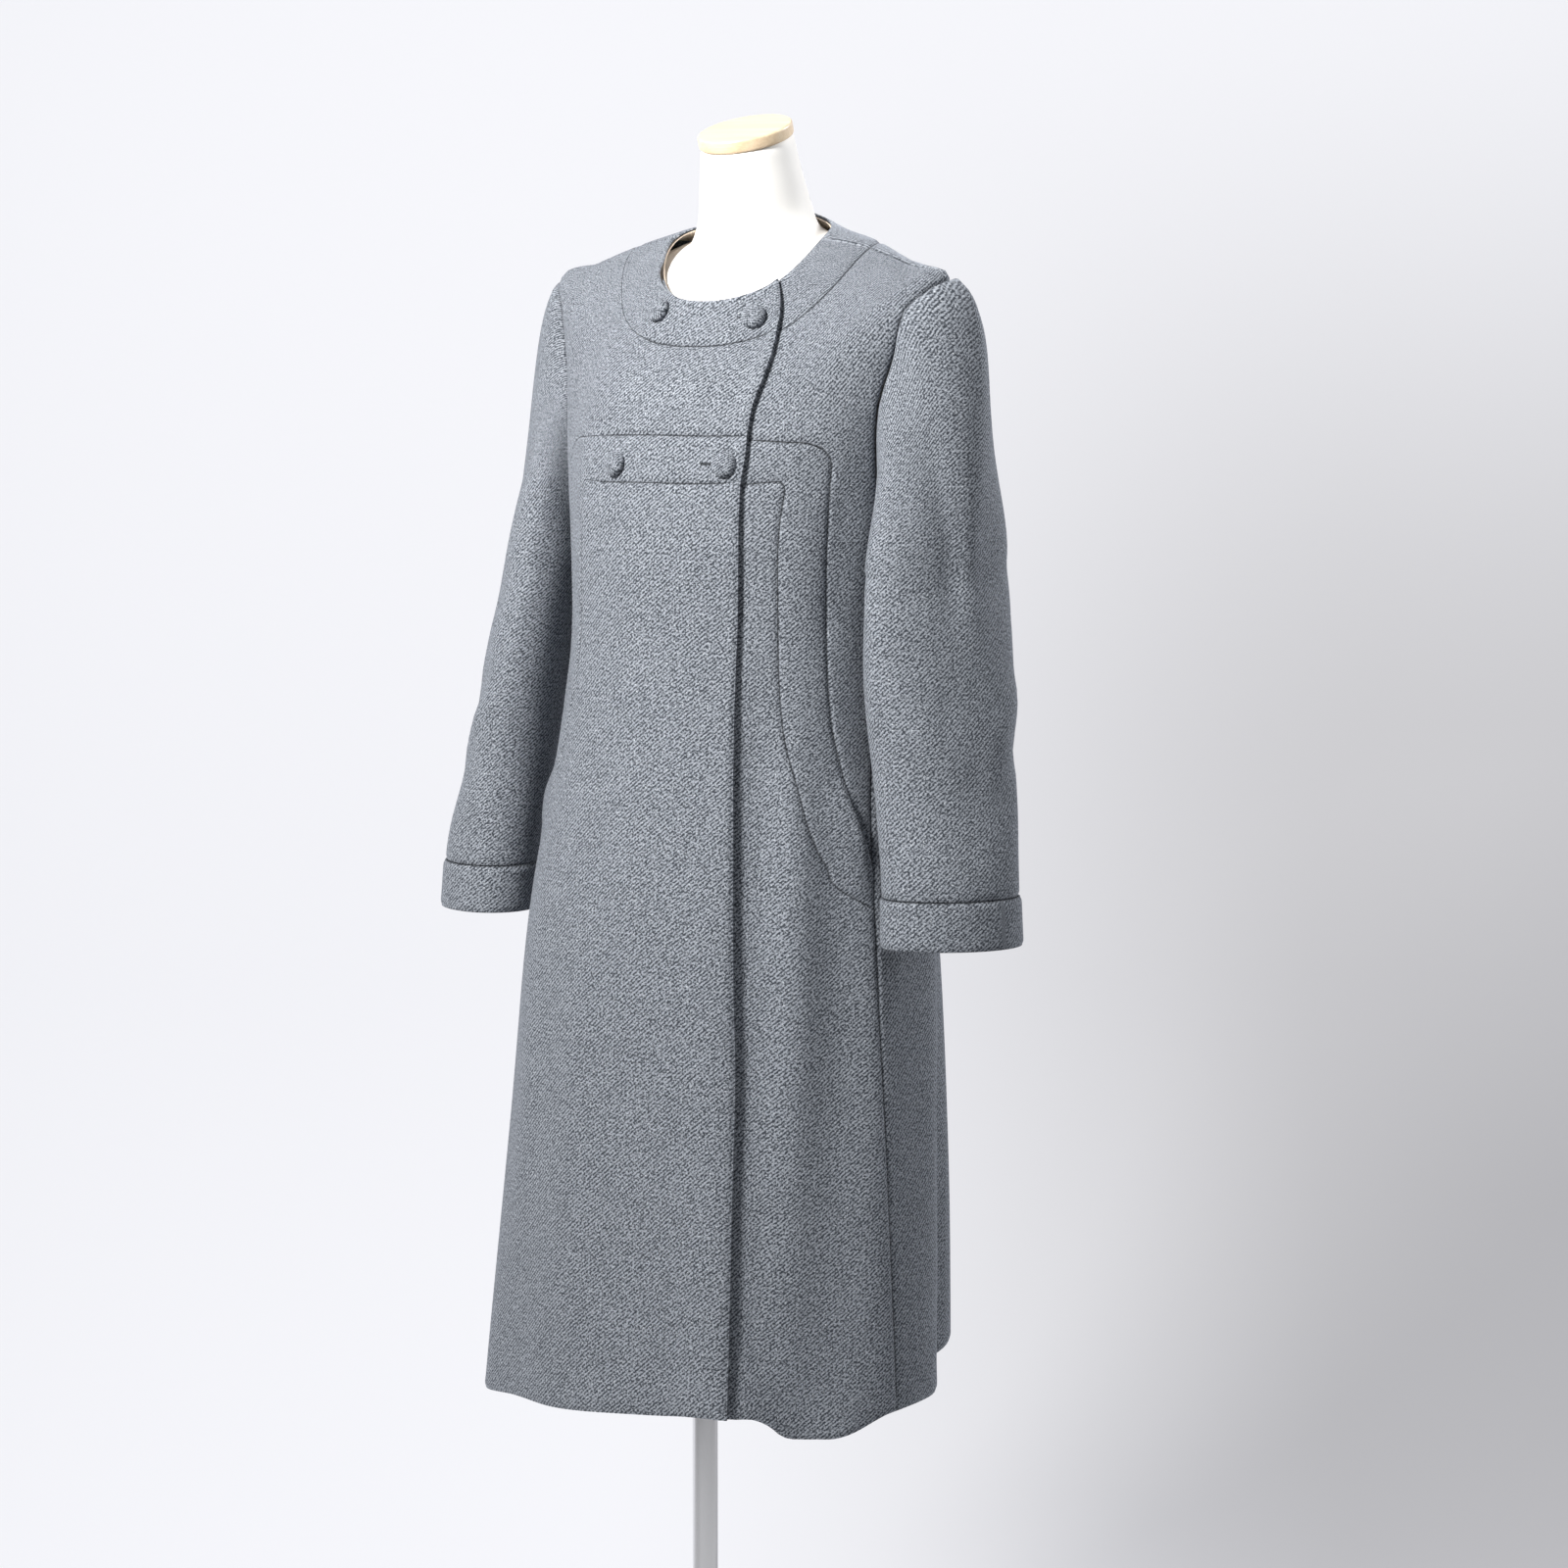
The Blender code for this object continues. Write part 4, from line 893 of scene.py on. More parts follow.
def make_backdrop_look(shade, shadow):
    """Pale paper with a painted glow behind the coat, standing in for its lighting, and a painted shadow of
    the coat that dims the glow low on the picture's right.
    """
    made = Look("backdrop", roughness=0.9)
    made.shader.inputs["Specular IOR Level"].default_value = 0.15
    x, y, z = made.split(made.place())
    across, ahead = view_axes()
    aside = x * across.x + y * across.y
    behind = (x * ahead.x + y * ahead.y).ramp(*BACKDROP_PAINTED_GLOW_AHEAD)
    # Painted shadow of the coat on the glow, low on the picture's right.
    dim = aside.ramp(*BACKDROP_PAINTED_SHADOW_ACROSS) * (1.0 - z.ramp(*BACKDROP_PAINTED_SHADOW_HEIGHT))
    cloud = made.noise(made.place(), 1.3, 3.0) * 0.04
    glow = made.mix(dim + cloud, (*shade, 1.0), (*shadow, 1.0))
    # The glow is an emission: painted light that sets the backdrop's brightness behind the coat.
    connect(made.tree, made.shader.inputs["Emission Color"], made.scaled(glow, behind))
    made.shader.inputs["Emission Strength"].default_value = 1.0
    made.clear_from_behind()
    return made.finish(made.mix(behind + cloud, FRONT_PAPER, PAPER_UNDER_GLOW))


MATERIALS = {}


# ---------------------------------------------------------------- creases
# Soft creases on the coat's body: each runs through its (angle, level) places, outward where
# its depth is positive, and fades at both ends.
BODY_CREASES = (
    # width, depth, places
    (0.015, 0.0052, ((48, 0.98), (46, 0.80), (46, 0.60), (46, 0.37))),
    (0.017, -0.0095, ((36, 1.04), (35, 0.80), (34.5, 0.60), (34, 0.38))),
    (0.020, -0.0040, ((57, 0.95), (59, 0.75), (60, 0.55), (60, 0.38))),
    (0.016, 0.0026, ((69, 0.88), (71, 0.70), (72, 0.50), (72, 0.38))),
    (0.014, -0.0016, ((30, 1.12), (31, 1.02), (33, 0.92))),
    (0.016, 0.0018, ((48, 1.15), (50, 1.05), (53, 0.96))),
    (0.012, -0.0016, ((62, 1.16), (60, 1.10), (58, 1.03))),
    (0.013, -0.0014, ((-62, 1.15), (-60, 1.08), (-58, 1.00))),
    (0.020, 0.0016, ((-50, 1.00), (-48, 0.85), (-47, 0.66))),
    (0.022, -0.0022, ((-34, 0.84), (-33, 0.70), (-34, 0.52), (-36, 0.38))),
    (0.024, 0.0020, ((-16, 0.80), (-15, 0.62), (-14, 0.42))),
    (0.020, -0.0016, ((4, 0.72), (5, 0.56), (6, 0.40))),
    (0.010, -0.0010, ((-20, 1.26), (-30, 1.245), (-42, 1.235))),
    (0.011, -0.0012, ((36, 1.262), (48, 1.245), (58, 1.225))),
    (0.016, 0.0022, ((104, 0.98), (104, 0.80), (103, 0.60), (103, 0.44))),
    (0.014, -0.0030, ((113, 1.00), (113, 0.80), (112, 0.60), (112, 0.44))),
    (0.022, 0.0026, ((134, 1.02), (136, 0.80), (138, 0.60), (138, 0.46))),
    (0.020, -0.0024, ((166, 0.96), (167, 0.80), (168, 0.60), (168, 0.46))),
    (0.024, 0.0022, ((196, 0.98), (195, 0.80), (194, 0.60), (194, 0.46))),
    (0.022, -0.0024, ((222, 1.00), (222, 0.80), (221, 0.60), (221, 0.46))),
    (0.018, -0.0020, ((252, 1.02), (251, 0.80), (250, 0.60), (250, 0.44))),
    (0.014, -0.0014, ((118, 1.24), (128, 1.20), (136, 1.14))),
    (0.014, -0.0014, ((242, 1.24), (232, 1.20), (225, 1.13))),
    (0.020, 0.0016, ((150, 1.20), (152, 1.08), (152, 0.98))),
    (0.020, 0.0016, ((208, 1.20), (206, 1.08), (207, 0.98))),
)

# The sleeves' creases, in (turn, run) on a sleeve: turn goes from its outer middle round the front.
SLEEVE_CREASES = {
    1: (
        (0.016, -0.0030, ((48, 0.35), (44, 0.75), (40, 1.10))),
        (0.018, 0.0026, ((18, 0.25), (14, 0.70), (12, 1.15))),
        (0.014, -0.0034, ((100, 1.18), (70, 1.30), (38, 1.38))),
        (0.016, 0.0030, ((92, 1.34), (58, 1.46), (26, 1.52))),
        (0.013, -0.0030, ((-70, 1.42), (-40, 1.50), (-10, 1.62))),
        (0.013, 0.0024, ((-72, 1.28), (-40, 1.36), (-12, 1.44))),
        (0.014, -0.0022, ((-98, 0.72), (-60, 0.95), (-30, 1.12))),
        (0.012, -0.0020, ((76, 1.60), (48, 1.68), (20, 1.74))),
        (0.012, -0.0026, ((118, 0.90), (96, 1.02), (72, 1.08))),
    ),
    -1: (
        (0.012, 0.0018, ((-4, 0.50), (0, 0.90), (4, 1.30), (6, 1.62))),
        (0.014, -0.0026, ((52, 0.45), (46, 0.85), (40, 1.20))),
        (0.014, -0.0030, ((96, 1.24), (68, 1.36), (36, 1.42))),
        (0.014, 0.0026, ((90, 1.40), (60, 1.50), (30, 1.56))),
        (0.013, -0.0026, ((-76, 1.36), (-44, 1.46), (-14, 1.56))),
        (0.013, -0.0022, ((-96, 0.80), (-62, 1.00), (-34, 1.16))),
        (0.012, -0.0024, ((116, 0.92), (94, 1.04), (70, 1.12))),
    ),
}


SLEEVE_SCALE = np.array([math.radians(1) * 0.058, 0.30])  # metres per degree of turn and per run
BROAD_WAVE, FINE_WAVE, SLEEVE_WAVE = 0.0006, 0.0004, 0.0005  # heights of the cloth's unevenness


def crease_depth(creases, across, along, scale):
    """How far creases move the cloth at places, given what one unit of each coordinate is in metres."""
    total = np.zeros_like(across)
    for width, depth, places in creases:
        path = np.array(places, float) * scale
        points = np.stack([across, along], -1) * scale
        legs = np.diff(path, axis=0)
        starts = running(path)
        nearest = np.full(len(points), 1e9)
        share = np.zeros(len(points))
        for start, leg, before in zip(path, legs, starts):
            span = np.linalg.norm(leg)
            t = np.clip((points - start) @ leg / span**2, 0, 1)
            gap = np.linalg.norm(points - start - t[:, None] * leg, axis=1)
            closer = gap < nearest
            nearest = np.where(closer, gap, nearest)
            share = np.where(closer, (before + t * span) / starts[-1], share)
        fade = ease(share / 0.25) * ease((1 - share) / 0.2 + 0.35)
        total = total + depth * np.exp(-((nearest / width) ** 2)) * fade
    return total


def body_detail(angle, level):
    """Creases and the slight unevenness of hanging cloth, in metres outward."""
    wide = np.asarray(angle, float) % 360.0
    depth = crease_depth(BODY_CREASES, wide, level, FLAT_SCALE)
    depth = depth + crease_depth(BODY_CREASES, wide - 360.0, level, FLAT_SCALE)
    low = ease((1.0 - level) / 0.5)
    turn = np.radians(wide)
    waves = np.sin(turn * 7 + 9 * level) * BROAD_WAVE + np.sin(turn * 13 - 14 * level + 1) * FINE_WAVE
    return depth + waves * (0.5 + low)


def sleeve_detail(side, turn, run):
    """The same on a sleeve, fading towards the armhole."""
    wide = signed(np.asarray(turn, float))
    depth = crease_depth(SLEEVE_CREASES[side], wide, run, SLEEVE_SCALE)
    waves = SLEEVE_WAVE * np.sin(np.radians(wide) * 4 + run * 6 + side)
    return (depth + waves) * ease((run - 0.03) / 0.2)


# ---------------------------------------------------------------- shells of cloth
FINE_ROUND = 0.0095  # mesh spacing of the shells
FINE_DOWN = 0.0130
FINE_EDGE = 0.0060  # and along their edges
ROLL = 0.0013  # how far a shell's edge rolls in at a seam
ROLL_WIDTH = 0.0046
EDGE_LIFT = 0.0024  # how much prouder the lapping front is along its thick free edge
EDGE_THICK = 0.0024  # and how much thicker
EDGE_LIFT_TURN = (5.5, 4.5)  # degrees from the edge where that begins, and to its whole height
EDGE_LIFT_FADE = (0.25, 0.022)  # share that is left at the neckline, and the drop to the whole again
SHARP = 0.80  # an outline turns a corner where its legs' directions agree by less than this
PRESSED = 0.0026  # how much closer to a pressed seam the cloth is already level
FREE_TURN, FREE_DEPTH = 2.2, 0.008  # degrees and metres from an edge that count as by it
RING_DEPTHS = (0.0006, 0.0014, 0.0026, 0.0048)  # from the edge to the rings of points inside it
RING_CLEAR = 0.72  # share of its depth that a ring's point has to keep from the edge
GRID_CLEAR = 0.0085  # from the edge to the grid's first points


def refine(outline, step):
    """A closed outline with points every step along smooth curves, its corners kept."""
    points = np.array(outline, float) * FLAT_SCALE
    keep = np.linalg.norm(points - np.roll(points, 1, axis=0), axis=1) > 1e-6
    points = points[keep]
    after = np.roll(points, -1, axis=0) - points
    unit_b, unit_a = unit(points - np.roll(points, 1, axis=0)), unit(after)
    corner = (unit_b * unit_a).sum(1) < SHARP
    out = []
    for i in range(len(points)):
        j = (i + 1) % len(points)
        span = np.linalg.norm(after[i])
        start = unit_a[i] if corner[i] else unit_a[i] + unit_b[i]
        end = unit_b[j] if corner[j] else unit_a[j] + unit_b[j]
        start, end = unit(start) * span, unit(end) * span
        for t in np.arange(0, 1, 1 / max(1, round(span / step))):
            a, b, c, d = cubic(t)
            out.append(a * points[i] + b * start + c * points[j] + d * end)
    return np.array(out)


def edge_gap(points, outline):
    """Distance from points to a closed outline, in metres on the flat cloth."""
    nearest = np.full(len(points), 1e9)
    for a, b in zip(outline, np.roll(outline, -1, axis=0)):
        leg = b - a
        t = np.clip((points - a) @ leg / (leg @ leg), 0, 1)
        nearest = np.minimum(nearest, np.linalg.norm(points - a - t[:, None] * leg, axis=1))
    return nearest


def spread(outline):
    """Triangles that fill a cut piece finely: their flat places, faces and distance to the edge."""
    edge = refine(outline, FINE_EDGE)
    area = (edge[:, 0] * np.roll(edge[:, 1], -1) - np.roll(edge[:, 0], -1) * edge[:, 1]).sum()
    edge = inset(edge if area > 0 else edge[::-1], SEAM_GAP / 2)
    low, high = edge.min(0), edge.max(0)
    rows = np.arange(low[1], high[1], FINE_DOWN)
    columns = np.arange(low[0], high[0], FINE_ROUND)
    grid = np.stack(np.meshgrid(columns, rows), axis=-1).reshape(-1, 2)
    rings = []
    for depth in RING_DEPTHS:
        ring = inset(edge, depth)
        rings.append(ring[inside(ring, edge, depth * RING_CLEAR)])
    grid = grid[inside(grid, edge, GRID_CLEAR)]
    count = len(edge)
    sides = [(i, (i + 1) % count) for i in range(count)]
    points = [Vector(p) for p in np.vstack([edge, *rings, grid])]
    filled = delaunay_2d_cdt(points, sides, [list(range(count))], 1, 1e-7)
    flat_places = np.array([tuple(p) for p in filled[0]])
    return flat_places, [list(f) for f in filled[2]], edge_gap(flat_places, edge)


def roll_in(gap):
    return -ROLL * (1 - ease(gap / ROLL_WIDTH)) ** 1.5


def cloth_piece(name, node, outline, finish, stand=flat, thickness=CLOTH):
    """A cut piece as a thin shell on its solid's form, with creases, rolled edges and painted shade along
    its seams.
    """
    flat_places, triangles, gap = spread(outline)
    angle, level = (flat_places / FLAT_SCALE).T
    base, normal = coat(angle, level), normals(coat, angle, level)
    lift = stand(angle, level) + body_detail(angle, level)
    thick = thickness + (edge_lift(angle, level) * EDGE_THICK / EDGE_LIFT if stand is not flat else 0.0)
    outer = base + normal * (lift + roll_in(gap + pressed(angle, level)))[:, None]
    inner = base + normal * (lift - thick)[:, None]
    # Distance to a sewn seam, which the wool darkens as painted shade: none at folded free edges, and less
    # at pressed seams.
    seams = np.where(free_edge(angle, level), 1.0, gap + pressed(angle, level) * 0.3)
    piece = shell(name, outer, inner, triangles, finish, cloth_lengths(angle, level), seams)
    return dress(piece, node, finish)


def pressed(angle, level):
    """Seams on the wearer's right chest and round the far side of the neck are pressed flatter: they roll
    in less and carry less painted shade.
    """
    return PRESSED * ease((-angle - 18.0) / 14.0) * ease((level - 1.02) / 0.1)


def free_edge(angle, level):
    """Where a place lies by a folded edge and not a sewn one: the hem, the neckline or a front's edge."""
    front = np.abs(np.abs(angle) - edge_angle(level)) < FREE_TURN
    low = coat(angle, level)[:, 2] < hem_height(angle) + FREE_DEPTH
    return front | low | (level > NECKLINE - FREE_DEPTH)


def edge_lift(angle, level):
    """The lapping front's free edge is thick: it stands prouder over its last centimetres."""
    begins, width = EDGE_LIFT_TURN
    least, drop = EDGE_LIFT_FADE
    near = ease((angle - edge_angle(level) + begins) / width)
    return EDGE_LIFT * near * (least + (1 - least) * ease((NECKLINE - level) / drop))


LENGTH_MAP = {}
LENGTH_TURN, LENGTH_STEP, LENGTH_LEVEL = 5.0, 0.01, 0.95  # its steps, and the level that keeps its number


def measure_cloth():
    """Metres along the cloth, round from the centre front and up from a level, on a grid of places."""
    angles = np.arange(-180.0, 366.0, LENGTH_TURN)
    levels = np.arange(0.33, NECKLINE + 0.02, LENGTH_STEP)
    grid = coat(*np.meshgrid(angles, np.minimum(levels, NECKLINE)))
    up = running(grid)
    low = int(np.abs(levels - LENGTH_LEVEL).argmin())
    LENGTH_MAP.update(angles=angles, levels=levels, around=running(grid, 1), up=up - up[low])


def cloth_lengths(angle, level):
    """Places on the flat cloth in metres, its grain upright at the centre front or the centre back."""
    if not LENGTH_MAP:
        measure_cloth()
    middle = 180.0 if np.mean(angle) > 120 else 0.0
    across = (angle - LENGTH_MAP["angles"][0]) / LENGTH_TURN
    down = (level - LENGTH_MAP["levels"][0]) / LENGTH_STEP
    column = np.clip(across.astype(int), 0, len(LENGTH_MAP["angles"]) - 2)
    row = np.clip(down.astype(int), 0, len(LENGTH_MAP["levels"]) - 2)
    s, t = across - column, down - row

    def read(table):
        low = table[row, column] * (1 - s) + table[row, column + 1] * s
        high = table[row + 1, column] * (1 - s) + table[row + 1, column + 1] * s
        return low * (1 - t) + high * t

    zero = int((middle + 180.0) / LENGTH_TURN)
    around = LENGTH_MAP["around"] - LENGTH_MAP["around"][:, zero : zero + 1]
    return np.stack([read(around), LENGTH_LEVEL + read(LENGTH_MAP["up"])], -1)


def plain_mesh(name, points, faces):
    mesh = bpy.data.meshes.new(name)
    mesh.from_pydata(points, [], faces)
    return mesh


def placed(name, data):
    """A new object with its mesh, lamp or camera, in the scene."""
    made = bpy.data.objects.new(name, data)
    bpy.context.scene.collection.objects.link(made)
    return made


def shell(name, outer, inner, faces, finish, flat_places, seams=None):
    """A closed shell between two like-numbered faces, its UV map being the flat cloth in metres."""
    count = len(outer)
    seen = {(face[i], face[(i + 1) % len(face)]) for face in faces for i in range(len(face))}
    rim = [(a, b) for a, b in seen if (b, a) not in seen]
    under = [[i + count for i in reversed(face)] for face in faces]
    sides = [[b, a, a + count, b + count] for a, b in rim]
    mesh = plain_mesh(name, np.vstack([outer, inner]).tolist(), [*faces, *under, *sides])
    lay_uv(mesh, np.vstack([flat_places, flat_places]))
    # The 'seam' attribute: distance to a sewn seam, which the wool darkens as painted shade.
    if seams is not None:
        layer = mesh.attributes.new("seam", "FLOAT", "POINT")
        layer.data.foreach_set("value", np.concatenate([seams, seams]).astype(np.float32))
    return finished(name, mesh, finish)


def lay_uv(mesh, flat_places):
    layer = mesh.uv_layers.new(name="cloth")
    corners = np.zeros(len(mesh.loops), np.int32)
    mesh.loops.foreach_get("vertex_index", corners)
    layer.data.foreach_set("uv", np.asarray(flat_places, np.float32)[corners].ravel())


def finished(name, mesh, finish, sharp=50):
    mesh.polygons.foreach_set("use_smooth", [True] * len(mesh.polygons))
    mesh.set_sharp_from_angle(angle=math.radians(sharp))
    mesh.materials.append(MATERIALS[finish])
    return placed(name, mesh)


def dress(piece, node, finish):
    """The piece rides on the part's body and stands for its node, in that node's finish."""
    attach(piece, "root")
    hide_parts(node)
    if finish in ("wool", "lining", "pocket"):
        declare_cut(piece)
    return piece


def declare_cut(piece):
    """Works out the cut of the cloth that shows, its extent along the grain or a strip if it bends sharply,
    but neither stores nor returns it.
    """
    mesh = piece.data
    sizes = np.zeros(len(mesh.polygons))
    mesh.polygons.foreach_get("area", sizes)
    area = float(sizes.sum()) / 2
    places = np.zeros(len(mesh.loops) * 2, np.float32)
    mesh.uv_layers["cloth"].data.foreach_get("uv", places)
    width, length = (float(size) for size in np.ptp(places.reshape(-1, 2), axis=0))
    least = LEAST_SHARE * width * length
    if piece.name == "neck_lining":
        width = area / length
    elif area < least and "band" in piece.name:
        width, length = BAND_WIDTH, area / BAND_WIDTH
    elif area < least:
        shrink = math.sqrt(area / least)
        width, length = width * shrink, length * shrink
    width = max(width, area / length)


def inset(outline, distance):
    """A closed outline, counterclockwise, moved inward by a distance."""
    before = outline - np.roll(outline, 1, axis=0)
    after = np.roll(outline, -1, axis=0) - outline
    sides = []
    for run in (unit(before), unit(after)):
        sides.append(np.stack([-run[:, 1], run[:, 0]], axis=1))
    bisector = sides[0] + sides[1]
    return outline + distance * 2 * bisector / np.maximum(0.6, (bisector**2).sum(1, keepdims=True))


def inside(points, outline, margin):
    """Which points lie in a closed outline, and at least a margin from its edge."""
    x, y = points[:, :1], points[:, 1:]
    a, b = outline, np.roll(outline, -1, axis=0)
    crosses = (a[:, 1] > y) != (b[:, 1] > y)
    with np.errstate(divide="ignore", invalid="ignore"):
        at = a[:, 0] + (y - a[:, 1]) * (b[:, 0] - a[:, 0]) / (b[:, 1] - a[:, 1])
    within = (crosses & (x < at)).sum(1) % 2 == 1
    run = b - a
    share = ((x - a[:, 0]) * run[:, 0] + (y - a[:, 1]) * run[:, 1]) / (run**2).sum(1)
    share = np.clip(share, 0, 1)
    gap = np.hypot(x - a[:, 0] - share * run[:, 0], y - a[:, 1] - share * run[:, 1]).min(1)
    return within & (gap > margin)


# ---------------------------------------------------------------- the coat's pieces
def sided(side, places):
    return [(side * angle, level) for angle, level in places]


def make_fronts():
    made = []
    for side, name, base, shift in ((1, "left", flat, 0.0), (-1, "right", upper_front, LAP_SHIFT)):
        outer = band_outer(shift)
        inner = band_inner(outer)
        seam_foot = side_seam(1, HEM_AT_SIDE, inner[-1][1])
        edge_foot = at_angle(-float(edge_angle(HEM_IN_FRONT)), HEM_IN_FRONT)
        yoke = [
            *front_edge(1, NECK_SEAM, outer[0][1])[:-1],
            *outer,
            *side_seam(1, POCKET_END, UNDERARM)[1:-1],
            *armhole(1),
            *shoulder_seam(1)[1:-1],
            *ring_edge(NECK_SEAM, 90.0, -float(edge_angle(NECK_SEAM)))[:-1],
        ]
        band = [
            *front_edge(1, outer[0][1], inner[0][1])[:-1],
            *inner,
            *side_seam(1, inner[-1][1], POCKET_END)[1:-1],
            *outer[::-1][:-1],
        ]
        hem_line = sided(side, hem(side * edge_foot[0], side * seam_foot[0][0]))
        skirt = [
            *front_edge(1, inner[0][1], hem_line[0][1])[:-1],
            *hem_line,
            *seam_foot[1:-1],
            *inner[::-1][:-1],
        ]
        if side < 0:
            base = thick_front
        stand = with_lip(side, base, outer)
        made.append(cloth_piece(f"yoke_{name}", f"front_yoke_{name}", sided(side, yoke), "wool", base))
        made.append(cloth_piece(f"band_{name}", f"front_band_{name}", sided(side, band), "wool", stand))
        made.append(cloth_piece(f"skirt_{name}", f"front_skirt_{name}", sided(side, skirt), "wool", stand))
        made.append(make_pocket(side, name, outer))
    return made


def thick_front(angle, level):
    return upper_front(angle, level) + edge_lift(angle, level)


def make_pocket(side, name, seam):
    """The pocket's inner layer, which shows in the open mouth and lies behind the band."""
    (up_turn, up), (down_turn, down) = BAG_ABOVE, BAG_BELOW
    mouth = [p for p in seam if p[1] < POCKET_TOP - 0.02]
    last = mouth[-1][0] - up_turn
    mouth = [p for p in mouth if p[0] < last - 1.0]
    top = [(min(angle + up_turn, last), level + up) for angle, level in mouth]
    bottom = [(angle - down_turn, level - down) for angle, level in mouth]
    outline = sided(side, [*top, (last, POCKET_END - BAG_DROP), *bottom[::-1]])
    return cloth_piece(f"pocket_{name}", f"pocket_bag_{name}", outline, "pocket", bag_depth, FACING)


def make_back():
    seam = side_seam(1, HEM_AT_SIDE, UNDERARM)
    first, last = seam[0][0], 360.0 - seam[0][0]
    around = [(360.0 - a, level) for a, level in seam]
    hole = [(a % 360.0, level) for a, level in armhole(1, behind=True)]
    other = [(360.0 - a, level) for a, level in hole]
    outline = [
        *seam[::-1][:-1],
        *hem(first, last),
        *around[1:-1],
        *other,
        *[(360.0 - a, level) for a, level in shoulder_seam(1)][1:-1],
        *ring_edge(NECK_SEAM, 270.0, 90.0),
        *shoulder_seam(1)[::-1][1:-1],
        *hole[::-1][:-1],
    ]
    return cloth_piece("coat_back", "back", outline, "wool")


def make_neck():
    edges = [float(edge_angle(level)) for level in (NECKLINE, NECK_SEAM)]
    made = []
    for side, name, base in ((1, "left", flat), (-1, "right", thick_front)):
        outline = [*ring_edge(NECK_SEAM, -edges[1], 90.0), *ring_edge(NECKLINE, 90.0, -edges[0])]
        outline = sided(side, outline)
        made.append(cloth_piece(f"neckband_{name}", f"neck_band_{name}", outline, "wool", base))
    outline = [*ring_edge(NECK_SEAM, 90.0, 270.0), *ring_edge(NECKLINE, 270.0, 90.0)]
    made.append(cloth_piece("neckband_back", "neck_band_back", outline, "wool"))
    return made


def make_facing():
    """The beige facing, a ring of its own inside the neck band."""
    angles = np.arange(0.0, 360.0, 2.5)
    levels = np.linspace(NECKLINE - 0.0006, NECKLINE - FACING_DEPTH, 7)
    angle, level = (grid.ravel() for grid in np.meshgrid(angles, levels))
    base, normal = coat(angle, level), normals(coat, angle, level)
    ripple = 0.0003 * np.sin(np.radians(angle) * 9)
    inset_by = (FACING_INSET - ripple)[:, None]
    outer, inner = base - normal * inset_by, base - normal * (inset_by + FACING)
    places = np.stack([angle, level], -1) * FLAT_SCALE
    piece = shell("neck_lining", outer, inner, tube_faces(len(angles), len(levels)), "lining", places)
    return dress(piece, "neck_facing", "lining")


def tube_faces(around, rows):
    """Faces of a tube whose rows run downward, each going round by growing angle."""
    faces = []
    for row in range(rows - 1):
        for i in range(around):
            j = (i + 1) % around
            a, b = row * around, (row + 1) * around
            faces.append([b + i, b + j, a + j, a + i])
    return faces


def capped_faces(around, rows):
    """The same tube closed by a face at either end."""
    last = (rows - 1) * around
    ends = [list(range(around)), list(range(last + around - 1, last - 1, -1))]
    return tube_faces(around, rows) + ends


# ---------------------------------------------------------------- sleeves
def armhole_ring(side):
    """The armhole as a loop from the shoulder's tip round the front: its turns and its points."""
    front = armhole(side)[::-1]
    rear = armhole(side, behind=True)[1:-1]
    loop = np.array(front + rear)
    points = coat(loop[:, 0], loop[:, 1])
    turns = []
    for part in (points[: len(front)], np.vstack([points[len(front) - 1 :], points[:1]])):
        run = running(part)
        turns.append(180.0 * run / run[-1])
    return np.concatenate([turns[0], 180.0 + turns[1][1:-1]]), points


def sleeve_ring(side, turn, height):
    """The sleeve's section below the armhole: turn runs from its outer middle round the front."""
    x, y, long_axis, short_axis, twist = (smooth(SLEEVE_RINGS, height, c) for c in range(1, 6))
    a = np.radians(turn)
    b = a + np.radians(twist)
    radius = 1 / np.sqrt((np.cos(b) / long_axis) ** 2 + (np.sin(b) / short_axis) ** 2)
    aside, ahead = side * (x + radius * np.cos(a)), y - radius * np.sin(a)
    return np.stack([aside, ahead, np.broadcast_to(height, a.shape)], -1)


def sleeve(side, ring, turn, run):
    """Points of a sleeve: run goes from 0 at the armhole to 1 at the first ring and 2 at the cuff's end."""
    turns, points = ring
    turn, run = np.broadcast_arrays(np.asarray(turn, float) % 360.0, np.asarray(run, float))
    wrapped, loop = np.append(turns, 360.0), np.vstack([points, points[:1]])
    start = np.stack([np.interp(turn, wrapped, loop[:, c]) for c in range(3)], -1)
    high, low = SLEEVE_RINGS[0][0], SLEEVE_RINGS[-1][0]
    below = high + (low - high) * np.clip(run - 1, 0, None)
    end = sleeve_ring(side, turn, below)
    sine, cosine = np.sin(np.radians(turn)), np.cos(np.radians(turn))
    top, rear = (1 + cosine) / 2, np.clip(-sine, 0, None)
    # the cap leaves the armhole outward, most at its top, and comes hanging to the first ring
    off = np.stack([side * (0.35 + 0.45 * top), -0.45 * sine + 0.35 * rear, -0.95 + 0.35 * top], -1)
    off = unit(off)
    reach = (0.05 + (CAP_EASE - 0.05) * top + 0.03 * rear)[..., None]
    down = np.array([side * 0.09, -0.13, -1.0])
    a, b, c, d = cubic(np.clip(run, 0, 1)[..., None])
    cap = a * start + b * off * reach + c * end + d * down * reach
    return np.where(run[..., None] < 1, cap, end)


def sleeve_places(side, ring, turn, run):
    """Points and outward normals of a sleeve, without its creases, which cloth_sleeve adds."""
    base = sleeve(side, ring, turn, run)
    step = 0.004
    along = sleeve(side, ring, turn + 1.0, run) - sleeve(side, ring, turn - 1.0, run)
    down = sleeve(side, ring, turn, run + step) - sleeve(side, ring, turn, np.maximum(run - step, 0.0005))
    return base, unit(np.cross(along, down) * side)


